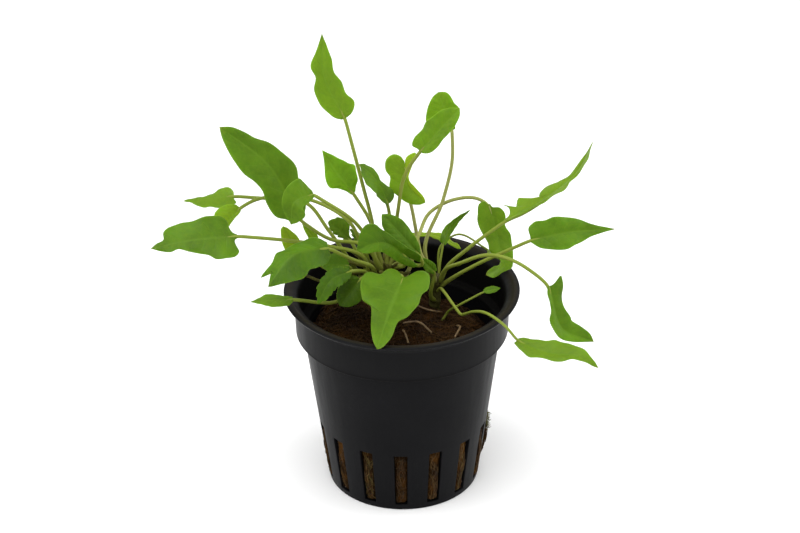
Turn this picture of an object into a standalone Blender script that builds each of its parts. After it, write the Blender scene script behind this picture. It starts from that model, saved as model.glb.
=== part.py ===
# Potted cryptocoryne: a small water plant in its net pot.
# The origin is the middle of the pot's flat base, +Z is up and the plant's front faces -Y.
# Sizes are in millimetres here and are scaled to metres when a mesh is made.

import math

import bmesh
import bpy
from mathutils import Vector

MM = 0.001
GAP = 0.35

# Pot
POT_HEIGHT = 50.5
LIP_RADIUS = 27.8
COLLAR_RADIUS = 25.15
BODY_TOP_RADIUS = 23.35
BASE_RADIUS = 18.35
STEP_HEIGHT = 39.8
WALL = 1.0
FLOOR = 1.2
SLOTS = 15
SLOT_TURN = math.radians(-92.0)
SLOT_HALF_ANGLE = math.radians(4.5)
SLOT_BOTTOM = 1.6
SLOT_TOP = 16.5
DRAIN_INNER = 7.0
DRAIN_OUTER = 14.0

# Growing medium
WOOL_TOP = 39.8
WOOL_COLUMNS = 24

# Rootstocks: foot and top of each axis, radius at foot and top
CROWNS = {
    "crown_left": ((-1.5, 3.0, 35.0), (-3.5, 3.2, 54.5), 3.0, 2.0),
    "crown_right": ((7.5, 10.5, 35.0), (8.6, 9.0, 49.0), 1.9, 1.4),
}

# Leaves
BLADE_THICKNESS = 0.45
STALK_FOOT_RADIUS = 0.6
STALK_TOP_RADIUS = 0.42
LOBE_WIDTH = 0.42


def clear_scene():
    for item in list(bpy.data.objects):
        bpy.data.objects.remove(item, do_unlink=True)


def finish_material(name, colour, roughness, metallic=0.0):
    material = bpy.data.materials.new(name)
    material.use_nodes = True
    shader = material.node_tree.nodes["Principled BSDF"]
    shader.inputs["Base Color"].default_value = (*colour, 1.0)
    shader.inputs["Roughness"].default_value = roughness
    shader.inputs["Metallic"].default_value = metallic
    return material


def add_object(name, bm, material, sharp_angle=60.0):
    bmesh.ops.scale(bm, vec=(MM, MM, MM), verts=bm.verts)
    bmesh.ops.recalc_face_normals(bm, faces=bm.faces)
    mesh = bpy.data.meshes.new(name)
    bm.to_mesh(mesh)
    bm.free()
    mesh.shade_smooth()
    mesh.set_sharp_from_angle(angle=math.radians(sharp_angle))
    mesh.materials.append(material)
    item = bpy.data.objects.new(name, mesh)
    bpy.context.collection.objects.link(item)
    return item


def ring(bm, radius, height, angles):
    return [bm.verts.new((radius * math.cos(a), radius * math.sin(a), height)) for a in angles]


def bridge_rings(bm, lower, upper, skip=()):
    count = len(lower)
    for j in range(count):
        if j not in skip:
            k = (j + 1) % count
            bm.faces.new((lower[j], lower[k], upper[k], upper[j]))


def cap_ring(bm, loop, height):
    centre = bm.verts.new((0.0, 0.0, height))
    for j, vert in enumerate(loop):
        bm.faces.new((centre, vert, loop[(j + 1) % len(loop)]))


def body_radius(z):
    """Outer radius of the pot's tapering body at height z."""
    share = (z - SLOT_BOTTOM) / (STEP_HEIGHT - SLOT_BOTTOM)
    return BASE_RADIUS + (BODY_TOP_RADIUS - BASE_RADIUS) * share


def make_pot(material):
    # Each slot is one wide cell between two narrow ones, so three columns a slot
    pitch = 2.0 * math.pi / SLOTS
    angles = []
    for i in range(SLOTS):
        middle = SLOT_TURN + i * pitch
        angles += [middle - SLOT_HALF_ANGLE, middle + SLOT_HALF_ANGLE, middle + 0.5 * pitch]
    slot_columns = [3 * i for i in range(SLOTS)]
    drain_columns = slot_columns[1::3]

    outside = [
        (DRAIN_INNER, 0.0), (DRAIN_OUTER, 0.0), (BASE_RADIUS - 0.4, 0.0), (BASE_RADIUS - 0.05, 0.6),
        (BASE_RADIUS, SLOT_BOTTOM), (body_radius(SLOT_TOP), SLOT_TOP), (BODY_TOP_RADIUS, STEP_HEIGHT),
        (COLLAR_RADIUS - 0.15, STEP_HEIGHT + 0.1), (COLLAR_RADIUS, STEP_HEIGHT + 0.6),
        (COLLAR_RADIUS + 0.2, POT_HEIGHT - 1.9), (LIP_RADIUS - 0.3, POT_HEIGHT - 0.6),
        (LIP_RADIUS, POT_HEIGHT - 0.1),
    ]
    inside = [
        (DRAIN_INNER, FLOOR), (DRAIN_OUTER, FLOOR), (BASE_RADIUS - WALL - 0.4, FLOOR),
        (BASE_RADIUS - WALL, SLOT_BOTTOM), (body_radius(SLOT_TOP) - WALL, SLOT_TOP),
        (BODY_TOP_RADIUS - WALL, STEP_HEIGHT + 0.9), (COLLAR_RADIUS - WALL, STEP_HEIGHT + 1.2),
        (COLLAR_RADIUS - WALL + 0.1, POT_HEIGHT - 1.4), (LIP_RADIUS - 1.6, POT_HEIGHT),
    ]
    bm = bmesh.new()
    outer = [ring(bm, r, z, angles) for r, z in outside]
    inner = [ring(bm, r, z, angles) for r, z in inside]
    # Pairs of bands with openings through them: (outer band, inner band, columns left open)
    openings = [(0, 0, drain_columns), (4, 3, slot_columns)]
    for skin, side in ((outer, 0), (inner, 1)):
        for band in range(len(skin) - 1):
            skip = [o[2] for o in openings if o[side] == band]
            bridge_rings(bm, skin[band], skin[band + 1], skip[0] if skip else ())
    bridge_rings(bm, outer[-1], inner[-1])
    cap_ring(bm, outer[0], 0.0)
    cap_ring(bm, inner[0], FLOOR)
    for band, inner_band, columns in openings:
        for j in columns:
            k = (j + 1) % len(angles)
            near = [outer[band][j], outer[band][k], outer[band + 1][k], outer[band + 1][j]]
            far = [inner[inner_band][j], inner[inner_band][k]]
            far += [inner[inner_band + 1][k], inner[inner_band + 1][j]]
            for a in range(4):
                b = (a + 1) % 4
                bm.faces.new((near[a], near[b], far[b], far[a]))
    return add_object("pot", bm, material, 40.0)


def wool_surface(x, y):
    """Height of the wool's uneven top, which sinks towards the back and the right."""
    lumps = 0.5 * math.sin(0.45 * x + 0.8) + 0.45 * math.cos(0.52 * y + 0.3 * x)
    fall = max(0.0, 0.75 * x + 0.45 * y - 9.0)
    return WOOL_TOP + lumps - 0.45 * fall


def make_wool(material, sockets):
    angles = [2.0 * math.pi * i / WOOL_COLUMNS for i in range(WOOL_COLUMNS)]
    gap_radius = GAP + WALL
    sides = [(11.0, 1.6), (14.6, 2.4), (body_radius(6.0) - gap_radius, 6.0)]
    sides += [(body_radius(20.0) - gap_radius, 20.0), (body_radius(30.0) - gap_radius, 30.0)]
    bm = bmesh.new()
    rings = [ring(bm, r, z, angles) for r, z in sides]
    for share in (1.0, 0.93, 0.62, 0.3):
        radius = share * (body_radius(33.0) - gap_radius)
        loop = ring(bm, radius, 0.0, angles)
        for vert in loop:
            drop = 2.2 if share == 1.0 else 0.0
            vert.co.z = wool_surface(vert.co.x, vert.co.y) - drop
        rings.append(loop)
    for lower, upper in zip(rings, rings[1:]):
        bridge_rings(bm, lower, upper)
    cap_ring(bm, rings[0], sides[0][1])
    cap_ring(bm, rings[-1], wool_surface(0.0, 0.0))
    wool = add_object("rockwool", bm, material)
    for socket in sockets:
        cut = wool.modifiers.new(socket.name, "BOOLEAN")
        cut.operation = "DIFFERENCE"
        cut.solver = "EXACT"
        cut.object = socket
    return wool


def tube_rings(bm, points, radii, sides, up):
    """Rings of a tube along points; up steers where the first corner of each ring lies."""
    rings = []
    for i, point in enumerate(points):
        ahead = points[min(i + 1, len(points) - 1)] - points[max(i - 1, 0)]
        forward = ahead.normalized()
        up = (up - forward * up.dot(forward)).normalized()
        side = up.cross(forward)
        loop = []
        for k in range(sides):
            turn = 2.0 * math.pi * k / sides
            loop.append(bm.verts.new(point + radii[i] * (up * math.cos(turn) + side * math.sin(turn))))
        rings.append(loop)
    for lower, upper in zip(rings, rings[1:]):
        bridge_rings(bm, lower, upper)
    return rings


def smooth_path(points, steps):
    """Catmull-Rom curve through the points, with steps pieces between each two of them."""
    ends = [points[0] * 2 - points[1], *points, points[-1] * 2 - points[-2]]
    path = []
    for a, b, c, d in zip(ends, ends[1:], ends[2:], ends[3:]):
        for i in range(steps):
            t = i / steps
            path.append(0.5 * (2 * b + (c - a) * t + (2 * a - 5 * b + 4 * c - d) * t * t
                               + (3 * b - a - 3 * c + d) * t ** 3))
    path.append(points[-1].copy())
    return path


def make_crown(name, material, swell=0.0):
    """Rootstock: a short knobbly stem, fattest just above the wool."""
    foot, top, foot_radius, top_radius = CROWNS[name]
    foot, top = Vector(foot), Vector(top)
    knobs = [0.75, 1.0, 1.12, 0.95, 1.05, 0.6]
    points, radii = [], []
    for i, knob in enumerate(knobs):
        share = i / (len(knobs) - 1)
        points.append(foot.lerp(top, share))
        radii.append((foot_radius + (top_radius - foot_radius) * share) * knob + swell)
    if swell:
        points[0] = points[0] - Vector((0.0, 0.0, swell))
    bm = bmesh.new()
    rings = tube_rings(bm, points, radii, 8, Vector((1.0, 0.0, 0.0)))
    bm.faces.new(rings[0])
    bm.faces.new(rings[-1])
    return add_object(name + "_socket" if swell else name, bm, material)


def make_root(name, route, material):
    points = smooth_path([Vector((x, y, wool_surface(x, y) + 0.8 + lift)) for x, y, lift in route], 2)
    radii = [0.4 if 0 < i < len(points) - 1 else 0.3 for i in range(len(points))]
    bm = bmesh.new()
    rings = tube_rings(bm, points, radii, 5, Vector((0.0, 0.0, 1.0)))
    bm.faces.new(rings[0])
    bm.faces.new(rings[-1])
    return add_object(name, bm, material)


def outline_width(t, widest, point):
    """Half-width of a blade, as a share of its widest, from the back of its lobes (0) to its tip (1)."""
    if t < widest:
        return LOBE_WIDTH + (1.0 - LOBE_WIDTH) * math.sqrt(1.0 - (1.0 - t / widest) ** 2)
    taper = (t - widest) / (1.0 - widest)
    return (1.0 - taper ** 1.7) ** point


def best_turn(corners, targets):
    """Order in which a ring's corners meet the target corners with the least stretch."""
    count = len(targets)
    best = None
    for way in (1, -1):
        for start in range(count):
            order = [(start + way * k) % count for k in range(count)]
            stretch = sum((corners[order[k]] - targets[k]).length for k in range(count))
            if best is None or stretch < best[0]:
                best = (stretch, order)
    return best[1]


def stalk_foot(crown, turn, height):
    """Where a stalk leaves its rootstock, at a turn round it and a share of its height."""
    foot, top, foot_radius, top_radius = CROWNS[crown]
    radius = (foot_radius + (top_radius - foot_radius) * height) * 1.05 + GAP + STALK_FOOT_RADIUS
    turn = math.radians(turn)
    out = Vector((math.cos(turn), math.sin(turn), 0.0)) * (radius * (0.75 if height == 1.0 else 1.0))
    rise = Vector((0.0, 0.0, 0.9 if height == 1.0 else 0.0))
    return Vector(foot).lerp(Vector(top), height) + out + rise


def make_leaf(name, shape, material):
    """One leaf: stalk and blade as one closed skin."""
    joint, tip = Vector(shape["stalk"][-1]), Vector(shape["tip"])
    spine = smooth_path([joint, *[Vector(p) for p in shape.get("rib", [])], tip], 6)
    length = sum((b - a).length for a, b in zip(spine, spine[1:]))
    face = Vector(shape["face"]).normalized()

    def rib(u):
        if u <= 0.0:
            return joint + (spine[1] - spine[0]).normalized() * u * length
        walked = u * length
        for a, b in zip(spine, spine[1:]):
            piece = (b - a).length
            if walked <= piece:
                return a.lerp(b, walked / piece)
            walked -= piece
        return tip.copy()

    lobe = shape.get("lobe", 0.0)
    half_width = 0.5 * shape["width"]
    widest = shape.get("widest", 0.3)
    point_sharpness = shape.get("point", 1.2)
    fold = math.radians(shape.get("fold", 12.0))
    twist = math.radians(shape.get("twist", 0.0))
    rows = shape.get("rows", 6)
    columns = (-1.0, -0.42, 0.0, 0.42, 1.0)

    def blade_frame(u):
        forward = (rib(min(u + 0.08, 1.0)) - rib(u - 0.08)).normalized()
        normal = (face - forward * face.dot(forward)).normalized()
        side = normal.cross(forward)
        turn = twist * max(u, 0.0)
        turned = side * math.cos(turn) + normal * math.sin(turn)
        return turned, turned.cross(forward) * -1.0

    def blade_point(t, v):
        reach = abs(v)
        x = (1.0 - reach) * t ** 1.25 + reach * (t * (1.0 + lobe) - lobe)
        share = shape.get("left", 1.0) if v > 0 else shape.get("right", 1.0)
        y = reach * half_width * outline_width(t, widest, point_sharpness) * share
        side, normal = blade_frame(x)
        wave = math.sin(2.0 * math.pi * 2.2 * t + (0.0 if v < 0 else 1.9))
        lift = y * math.sin(fold) + shape.get("wave", 0.4) * wave * reach * reach * (1.0 - t)
        return rib(x) + side * math.copysign(y * math.cos(fold), v) + normal * lift, normal

    bm = bmesh.new()
    top, bottom = [], []
    for i in range(rows):
        t = i / rows
        upper, lower = [], []
        for v in columns:
            point, normal = blade_point(t, v)
            ridge = STALK_TOP_RADIUS * (1.0 - t) if v == 0.0 else 0.0
            upper.append(bm.verts.new(point + normal * (0.5 * BLADE_THICKNESS + 0.3 * ridge)))
            lower.append(bm.verts.new(point - normal * (0.5 * BLADE_THICKNESS + 0.7 * ridge)))
        top.append(upper)
        bottom.append(lower)
    last = len(columns) - 1
    for i in range(rows - 1):
        for j in range(last):
            bm.faces.new((top[i][j], top[i][j + 1], top[i + 1][j + 1], top[i + 1][j]))
            bm.faces.new((bottom[i][j], bottom[i][j + 1], bottom[i + 1][j + 1], bottom[i + 1][j]))
        for j in (0, last):
            bm.faces.new((top[i][j], top[i + 1][j], bottom[i + 1][j], bottom[i][j]))
    point = bm.verts.new(tip)
    for grid in (top, bottom):
        for j in range(last):
            bm.faces.new((grid[-1][j], grid[-1][j + 1], point))
    for j in (0, last):
        bm.faces.new((top[-1][j], bottom[-1][j], point))
    for j in (0, last - 1):
        bm.faces.new((top[0][j], top[0][j + 1], bottom[0][j + 1], bottom[0][j]))

    # The stalk's last ring meets the six corners round the rib at the blade's foot
    join = [top[0][2], top[0][3], bottom[0][3], bottom[0][2], bottom[0][1], top[0][1]]
    route = [stalk_foot(*shape["from"]), *[Vector(p) for p in shape["stalk"]]]
    setback = min(1.4 + 0.4 * lobe * length, 0.5 * (route[-1] - route[-2]).length)
    path = [p for p in smooth_path(route, shape.get("steps", 2)) if (p - joint).length > setback + 0.8]
    path.append(joint - (joint - path[-1]).normalized() * setback)
    radii = []
    for i in range(len(path)):
        share = i / (len(path) - 1)
        radii.append(STALK_FOOT_RADIUS + (STALK_TOP_RADIUS - STALK_FOOT_RADIUS) * share)
    stalk = tube_rings(bm, path[::-1], radii[::-1], 6, blade_frame(0.0)[1])
    bm.faces.new(stalk[-1])
    near = stalk[0]
    order = best_turn([v.co for v in near], [v.co for v in join])
    for k in range(6):
        m = (k + 1) % 6
        bm.faces.new((join[k], join[m], near[order[m]], near[order[k]]))
    return add_object(name, bm, material)


# Each leaf: where its stalk leaves its rootstock (which one, turn in degrees, share of its height),
# the stalk's route to the blade's foot, points along the blade's rib, its tip, its width, and the way
# its upper side faces.
LEFT, RIGHT = "crown_left", "crown_right"
LEAVES = {
    "leaf_tall": {
        "from": (LEFT, 180, 1.0), "stalk": [(-6.7, 4.0, 65.9), (-8.7, 5.0, 74.9), (-12.5, 6.0, 91.8)],
        "rib": [(-17.0, 8.0, 101.2)], "tip": (-17.3, 9.0, 111.6), "width": 8.4, "widest": 0.2,
        "left": 0.85, "right": 1.1, "face": (-0.2, -1.0, 0.4), "rows": 7},
    "leaf_upper_left": {
        "from": (LEFT, 176, 0.9), "stalk": [(-9.4, 2.6, 60.8), (-15.8, 1.0, 62.9), (-23.4, -2.0, 69.9)],
        "rib": [(-30.0, 1.0, 82.3)], "tip": (-41.0, 3.0, 91.4), "width": 10.5, "widest": 0.4,
        "left": 1.25, "right": 0.88, "point": 0.9, "face": (0.3, -1.0, 0.6), "rows": 7},
    "leaf_upper_left_front": {
        "from": (LEFT, 220, 1.0), "stalk": [(-9.3, 0.0, 66.3), (-19.8, -6.0, 78.6)],
        "rib": [(-24.1, -9.0, 77.9)], "tip": (-24.9, -10.0, 72.9), "width": 8.4, "widest": 0.4,
        "face": (0.0, -1.0, 0.7), "rows": 5},
    "leaf_left_back": {
        "from": (LEFT, 150, 0.82),
        "stalk": [(-13.0, 5.0, 66.6), (-20.9, 8.0, 69.8), (-32.5, 11.0, 68.9), (-39.2, 12.0, 69.0)],
        "tip": (-51.2, 12.0, 67.9), "width": 7.0, "fold": -8.0, "face": (0.0, -0.2, 1.0)},
    "leaf_left_pale": {
        "from": (LEFT, 160, 0.62),
        "stalk": [(-16.8, 4.0, 63.7), (-21.6, 6.0, 69.8), (-33.9, 7.0, 70.5), (-37.5, 7.0, 68.5)],
        "tip": (-42.6, 5.0, 62.7), "width": 5.0, "left": 0.5, "right": 1.2, "face": (-0.5, -1.0, 0.4),
        "rows": 5},
    "leaf_left": {
        "from": (LEFT, 196, 0.76),
        "stalk": [(-9.2, 0.6, 59.0), (-16.7, -0.7, 62.2), (-27.0, -3.0, 65.2), (-37.5, -6.0, 68.0)],
        "rib": [(-46.9, -9.0, 68.7)], "tip": (-56.8, -12.0, 68.2), "width": 11.0, "widest": 0.35,
        "left": 0.85, "point": 0.75, "fold": 4.0, "face": (0.0, -0.8, 1.0), "rows": 7},
    "leaf_left_front": {
        "from": (LEFT, 218, 0.93), "stalk": [(-7.0, -0.4, 56.6), (-10.6, -1.8, 58.9), (-16.8, -7.0, 65.2)],
        "rib": [(-24.8, -13.0, 66.5)], "tip": (-30.1, -19.0, 61.9), "width": 9.4, "widest": 0.4,
        "left": 1.35, "face": (-0.1, -0.7, 1.0), "rows": 7},
    "leaf_left_small": {
        "from": (LEFT, 184, 0.45), "stalk": [(-10.5, 1.5, 49.5), (-23.9, 1.0, 59.8)],
        "tip": (-27.4, 2.0, 66.2), "width": 3.6, "face": (0.3, -1.0, 0.5), "rows": 5},
    "leaf_left_bud": {
        "from": (LEFT, 158, 0.45), "stalk": [(-11.0, 4.0, 48.5), (-19.3, 2.5, 61.3)],
        "tip": (-23.1, 3.0, 66.7), "width": 2.4, "face": (0.3, -1.0, 0.5), "rows": 4},
    "leaf_left_low": {
        "from": (LEFT, 205, 0.45),
        "stalk": [(-9.8, -1.0, 49.2), (-16.7, -6.5, 50.4), (-25.2, -8.5, 52.6)],
        "tip": (-35.0, -9.0, 52.3), "width": 4.8, "right": 0.5, "face": (0.0, -0.3, 1.0), "rows": 5},
    "leaf_left_under": {
        "from": (LEFT, 192, 0.62), "stalk": [(-9.6, 1.3, 50.9), (-12.2, 0.4, 56.4)],
        "tip": (-18.8, -1.5, 57.8), "width": 3.8, "face": (0.0, -0.5, 1.0), "rows": 5},
    "leaf_inner_left": {
        "from": (LEFT, 220, 0.62), "stalk": [(-8.5, -2.0, 56.0), (-11.9, -6.0, 58.5)],
        "rib": [(-16.6, -11.0, 58.5)], "tip": (-19.2, -14.0, 54.5), "width": 5.4,
        "face": (0.1, -1.0, 0.6), "rows": 6},
    "leaf_inner_shade": {
        "from": (LEFT, 245, 0.62), "stalk": [(-7.6, -3.8, 56.2), (-9.6, -5.4, 56.0)],
        "tip": (-14.4, -9.4, 51.2), "width": 6.4, "face": (0.3, -1.0, 0.6), "rows": 5},
    "leaf_front": {
        "from": (LEFT, 270, 0.82), "stalk": [(-1.0, -3.4, 55.8), (0.5, -7.4, 57.7)],
        "rib": [(-2.3, -16.0, 54.9)], "tip": (-5.7, -28.5, 50.9), "width": 15.0, "widest": 0.25,
        "point": 1.5, "right": 1.22, "lobe": 0.1, "face": (0.0, -0.4, 1.0), "rows": 8, "steps": 3},
    "leaf_middle": {
        "from": (LEFT, 300, 1.0), "stalk": [(0.6, -1.4, 57.2), (1.2, -3.4, 60.8)],
        "rib": [(-4.3, -6.4, 66.1)], "tip": (-10.2, -8.0, 65.0), "width": 8.0, "left": 0.85, "right": 1.15,
        "face": (-0.1, -1.0, 0.35), "rows": 6, "steps": 3},
    "leaf_middle_right": {
        "from": (LEFT, 340, 1.0), "stalk": [(4.9, 1.0, 56.2), (4.2, 0.2, 59.2)], "rib": [(0.2, -1.0, 64.9)],
        "tip": (-4.3, -2.0, 71.2), "width": 5.5, "face": (0.3, -1.0, 0.5), "rows": 6, "steps": 3},
    "leaf_heart_small": {
        "from": (RIGHT, 245, 0.62), "stalk": [(7.9, 5.2, 51.7)], "tip": (4.4, 5.0, 55.9), "width": 2.6,
        "face": (0.2, -1.0, 0.5), "rows": 4},
    "leaf_back_left": {
        "from": (LEFT, 130, 1.0), "stalk": [(-7.2, 7.0, 64.6), (-11.1, 9.0, 71.0)],
        "rib": [(-15.2, 9.5, 76.8)], "tip": (-18.1, 10.0, 81.8), "width": 7.6, "widest": 0.6,
        "left": 0.9, "face": (-0.1, -1.0, 0.4)},
    "leaf_back_slim": {
        "from": (LEFT, 85, 1.0), "stalk": [(-2.3, 5.5, 63.0), (-3.0, 5.0, 70.1)],
        "rib": [(-5.2, 4.0, 76.3)], "tip": (-9.4, 2.0, 82.1), "width": 4.8, "face": (0.7, -0.6, 0.5)},
    "leaf_back_drooping": {
        "from": (RIGHT, 232, 1.0),
        "stalk": [(4.6, 7.6, 55.4), (3.7, 9.1, 59.8), (2.7, 10.1, 65.7), (1.4, 11.2, 71.6),
                  (1.1, 11.4, 75.2), (1.0, 10.0, 79.7), (1.1, 8.2, 78.6)],
        "rib": [(1.8, 7.5, 73.9)], "tip": (5.8, 7.2, 69.2), "width": 8.0, "left": 0.6, "right": 1.1,
        "lobe": 0.08, "face": (-0.3, -1.0, 0.3)},
    "leaf_back_right": {
        "from": (LEFT, 50, 1.0), "stalk": [(-0.7, 3.7, 68.7), (1.5, 3.9, 79.2), (4.6, 4.4, 83.9)],
        "tip": (13.8, 9.0, 92.6), "width": 5.8, "left": 1.25, "right": 0.85, "face": (-0.2, -1.0, 0.5),
        "rows": 7},
    "leaf_back_right_high": {
        "from": (RIGHT, 185, 1.0),
        "stalk": [(5.6, 9.0, 55.5), (10.0, 13.0, 66.8), (12.2, 15.0, 76.1), (12.2, 15.0, 84.1)],
        "tip": (9.0, 18.0, 92.5), "width": 7.0, "left": 1.35, "right": 0.6, "point": 0.6,
        "face": (-0.1, -1.0, 0.4)},
    "leaf_right_hanging": {
        "from": (LEFT, 0, 0.82),
        "stalk": [(4.2, 6.9, 60.9), (7.1, 13.3, 63.6), (12.4, 14.8, 65.9), (17.9, 14.9, 66.2),
                  (20.9, 13.9, 65.1)],
        "rib": [(23.0, 10.8, 57.0), (23.5, 6.9, 52.7)], "tip": (19.8, 1.9, 52.6), "width": 7.6,
        "left": 0.9, "right": 1.1, "point": 0.8, "face": (0.2, -1.0, 0.3), "rows": 8, "steps": 2},
    "leaf_right_wavy": {
        "from": (RIGHT, 10, 1.0), "stalk": [(15.8, 8.4, 56.2), (24.6, 9.6, 62.4)],
        "rib": [(34.0, 11.6, 67.2), (41.0, 13.6, 72.2)], "tip": (45.1, 14.6, 80.9), "width": 7.0,
        "left": 0.8, "wave": 1.2, "face": (-0.7, 0.1, 0.75), "rows": 8},
    "leaf_right": {
        "from": (RIGHT, 340, 0.88), "stalk": [(17.6, 6.0, 53.1), (26.2, 4.0, 58.6), (30.3, 3.0, 61.2)],
        "rib": [(39.2, 1.0, 64.2)], "tip": (49.5, -2.0, 66.6), "width": 7.8, "right": 0.9, "point": 1.6,
        "face": (-0.1, -1.0, 0.8), "rows": 7},
    "leaf_right_drooping": {
        "from": (RIGHT, 310, 1.0),
        "stalk": [(14.0, 2.0, 55.9), (20.8, -2.0, 60.1), (26.0, -5.0, 60.1), (31.0, -7.0, 57.5),
                  (34.0, -8.0, 55.1)],
        "rib": [(35.0, -10.0, 50.4), (36.6, -12.0, 46.4)], "tip": (44.4, -12.0, 42.3), "width": 5.4,
        "left": 1.1, "right": 0.9, "lobe": 0.04, "widest": 0.6, "point": 0.9, "face": (0.5, -0.8, 0.5),
        "rows": 7, "steps": 2},
    "leaf_right_low": {
        "from": (RIGHT, 285, 0.8),
        "stalk": [(10.6, 3.0, 46.6), (13.5, -6.0, 46.7), (19.4, -15.5, 52.2), (24.0, -20.0, 50.8),
                  (26.1, -21.0, 48.2)],
        "rib": [(33.4, -24.0, 46.6), (39.3, -26.0, 46.8)], "tip": (44.2, -28.0, 45.0), "width": 6.5,
        "left": 0.85, "widest": 0.45, "face": (0.0, -0.4, 1.0), "rows": 7},
    "leaf_inner_right": {
        "from": (RIGHT, 315, 0.42), "stalk": [(10.8, 4.0, 41.3), (12.8, 1.0, 44.6), (19.3, 1.0, 48.6)],
        "tip": (23.3, 2.0, 49.0), "width": 2.2, "face": (-0.2, -0.4, 1.0), "rows": 4},
    "leaf_back_pointed": {
        "from": (RIGHT, 75, 1.0), "stalk": [(10.0, 13.0, 55.0)], "rib": [(12.0, 16.0, 58.2)],
        "tip": (16.8, 18.0, 61.7), "width": 4.0, "face": (0.6, -0.6, 0.4), "rows": 5},
    "leaf_rim_back": {
        "from": (LEFT, 85, 0.82), "stalk": [(0.5, 18.0, 53.0), (2.2, 22.0, 52.6)],
        "rib": [(7.5, 21.5, 52.9)], "tip": (14.4, 17.0, 51.5), "width": 1.9, "face": (0.0, -0.2, 1.0),
        "rows": 6},
    "leaf_rim_right": {
        "from": (RIGHT, 75, 0.7), "stalk": [(9.8, 16.0, 53.3), (13.2, 18.0, 54.8), (21.0, 14.0, 52.6)],
        "tip": (25.3, 8.0, 52.3), "width": 3.6, "face": (0.2, 0.0, 1.0), "rows": 5},
    "leaf_back_small": {
        "from": (LEFT, 140, 0.62), "stalk": [(-12.0, 11.0, 57.4)], "tip": (-17.2, 13.0, 61.5),
        "width": 3.6, "face": (0.1, -1.0, 0.5), "rows": 4, "steps": 3},
    "leaf_back_tiny": {
        "from": (LEFT, 110, 0.82), "stalk": [(-8.7, 7.0, 58.8)], "tip": (-12.0, 9.0, 61.5),
        "width": 2.4, "face": (0.1, -1.0, 0.5), "rows": 4, "steps": 3},
}

# Roots that loop out of the wool: (x, y, lift above it)
ROOTS = {
    "root_1": [(3.6, 8.2, 0.0), (6.0, 6.4, 0.5), (9.6, 6.9, 0.0)],
    "root_2": [(0.4, -0.4, 0.0), (3.6, -0.2, 0.4), (6.8, -3.5, 0.0)],
    "root_3": [(0.2, -3.0, 0.0), (0.6, -5.0, 0.8), (1.4, -8.5, 0.0)],
    "root_4": [(13.0, 0.4, 0.0), (13.6, -3.0, 1.0), (12.4, -6.4, 0.0)],
}


def make_leaves():
    blade = finish_material("leaf_green", (0.14, 0.27, 0.03), 0.5)
    for name, shape in LEAVES.items():
        make_leaf(name, shape, blade)


def build():
    clear_scene()
    make_pot(finish_material("pot_black", (0.025, 0.025, 0.027), 0.5))
    crown_skin = finish_material("crown_olive", (0.09, 0.08, 0.03), 0.6)
    sockets = []
    for name in CROWNS:
        make_crown(name, crown_skin)
        socket = make_crown(name, crown_skin, swell=GAP)
        socket.hide_render = True
        socket.display_type = "WIRE"
        sockets.append(socket)
    make_wool(finish_material("wool_brown", (0.12, 0.05, 0.02), 0.95), sockets)
    make_leaves()
    root_skin = finish_material("root_tan", (0.3, 0.2, 0.11), 0.7)
    for name, route in ROOTS.items():
        make_root(name, route, root_skin)


build()
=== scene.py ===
# Looks for the potted cryptocoryne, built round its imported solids.
# Sizes in the dictionaries are in millimetres, angles in degrees; meshes come out in metres.

import math
import random

import bmesh
import bpy
from mathutils import Matrix, Vector, noise


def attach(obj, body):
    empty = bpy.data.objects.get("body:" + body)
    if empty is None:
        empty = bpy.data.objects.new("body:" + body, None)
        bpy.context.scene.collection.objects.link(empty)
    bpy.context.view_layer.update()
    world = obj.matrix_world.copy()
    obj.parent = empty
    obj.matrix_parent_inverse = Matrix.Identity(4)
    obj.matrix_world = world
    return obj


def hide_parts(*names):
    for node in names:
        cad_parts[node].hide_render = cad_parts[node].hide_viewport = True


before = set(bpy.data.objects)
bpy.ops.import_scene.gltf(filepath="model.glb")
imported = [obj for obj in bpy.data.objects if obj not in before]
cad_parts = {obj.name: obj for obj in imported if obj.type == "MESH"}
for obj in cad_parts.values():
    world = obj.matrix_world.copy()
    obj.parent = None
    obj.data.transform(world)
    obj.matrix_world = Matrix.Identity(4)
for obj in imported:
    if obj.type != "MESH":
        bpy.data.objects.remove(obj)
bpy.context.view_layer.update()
mm = 0.001
print("frame loaded,", len(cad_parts), "nodes")


# Camera, floor and light

cameraSet = {
    "distance": 550, "elevation": 29.04, "roll": -0.666,
    "target": (-0.334, 0, 56.23), "lens": 106.07, "sensor": 36,
}


def makeCamera():
    rise, roll = math.radians(cameraSet["elevation"]), math.radians(cameraSet["roll"])
    back = Vector((0, -math.cos(rise), math.sin(rise)))
    across, up = Vector((1, 0, 0)), Vector((0, math.sin(rise), math.cos(rise)))
    right = across * math.cos(roll) + up * math.sin(roll)
    above = up * math.cos(roll) - across * math.sin(roll)
    data = bpy.data.cameras.new("studioCamera")
    data.sensor_width, data.lens = cameraSet["sensor"], cameraSet["lens"]
    data.clip_start, data.clip_end = 0.01, 20
    camera = bpy.data.objects.new("studioCamera", data)
    spot = (Vector(cameraSet["target"]) + back * cameraSet["distance"]) * mm
    camera.matrix_world = Matrix.Translation(spot) @ Matrix((right, above, back)).transposed().to_4x4()
    bpy.context.collection.objects.link(camera)
    bpy.context.scene.camera = camera


lightSet = {
    "skyStrength": 0.93, "skyColour": (1, 1, 1),
    "top": {"at": (-60, -120, 620), "size": 520, "power": 2.6},
    "left": {"at": (-520, -60, 260), "size": 420, "power": 0.6},
    "right": {"at": (540, 60, 240), "size": 360, "power": 1.1},
    "aim": (0, 0, 40), "floorRadius": 3000, "floorColour": (0.95, 0.95, 0.95),
}


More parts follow.
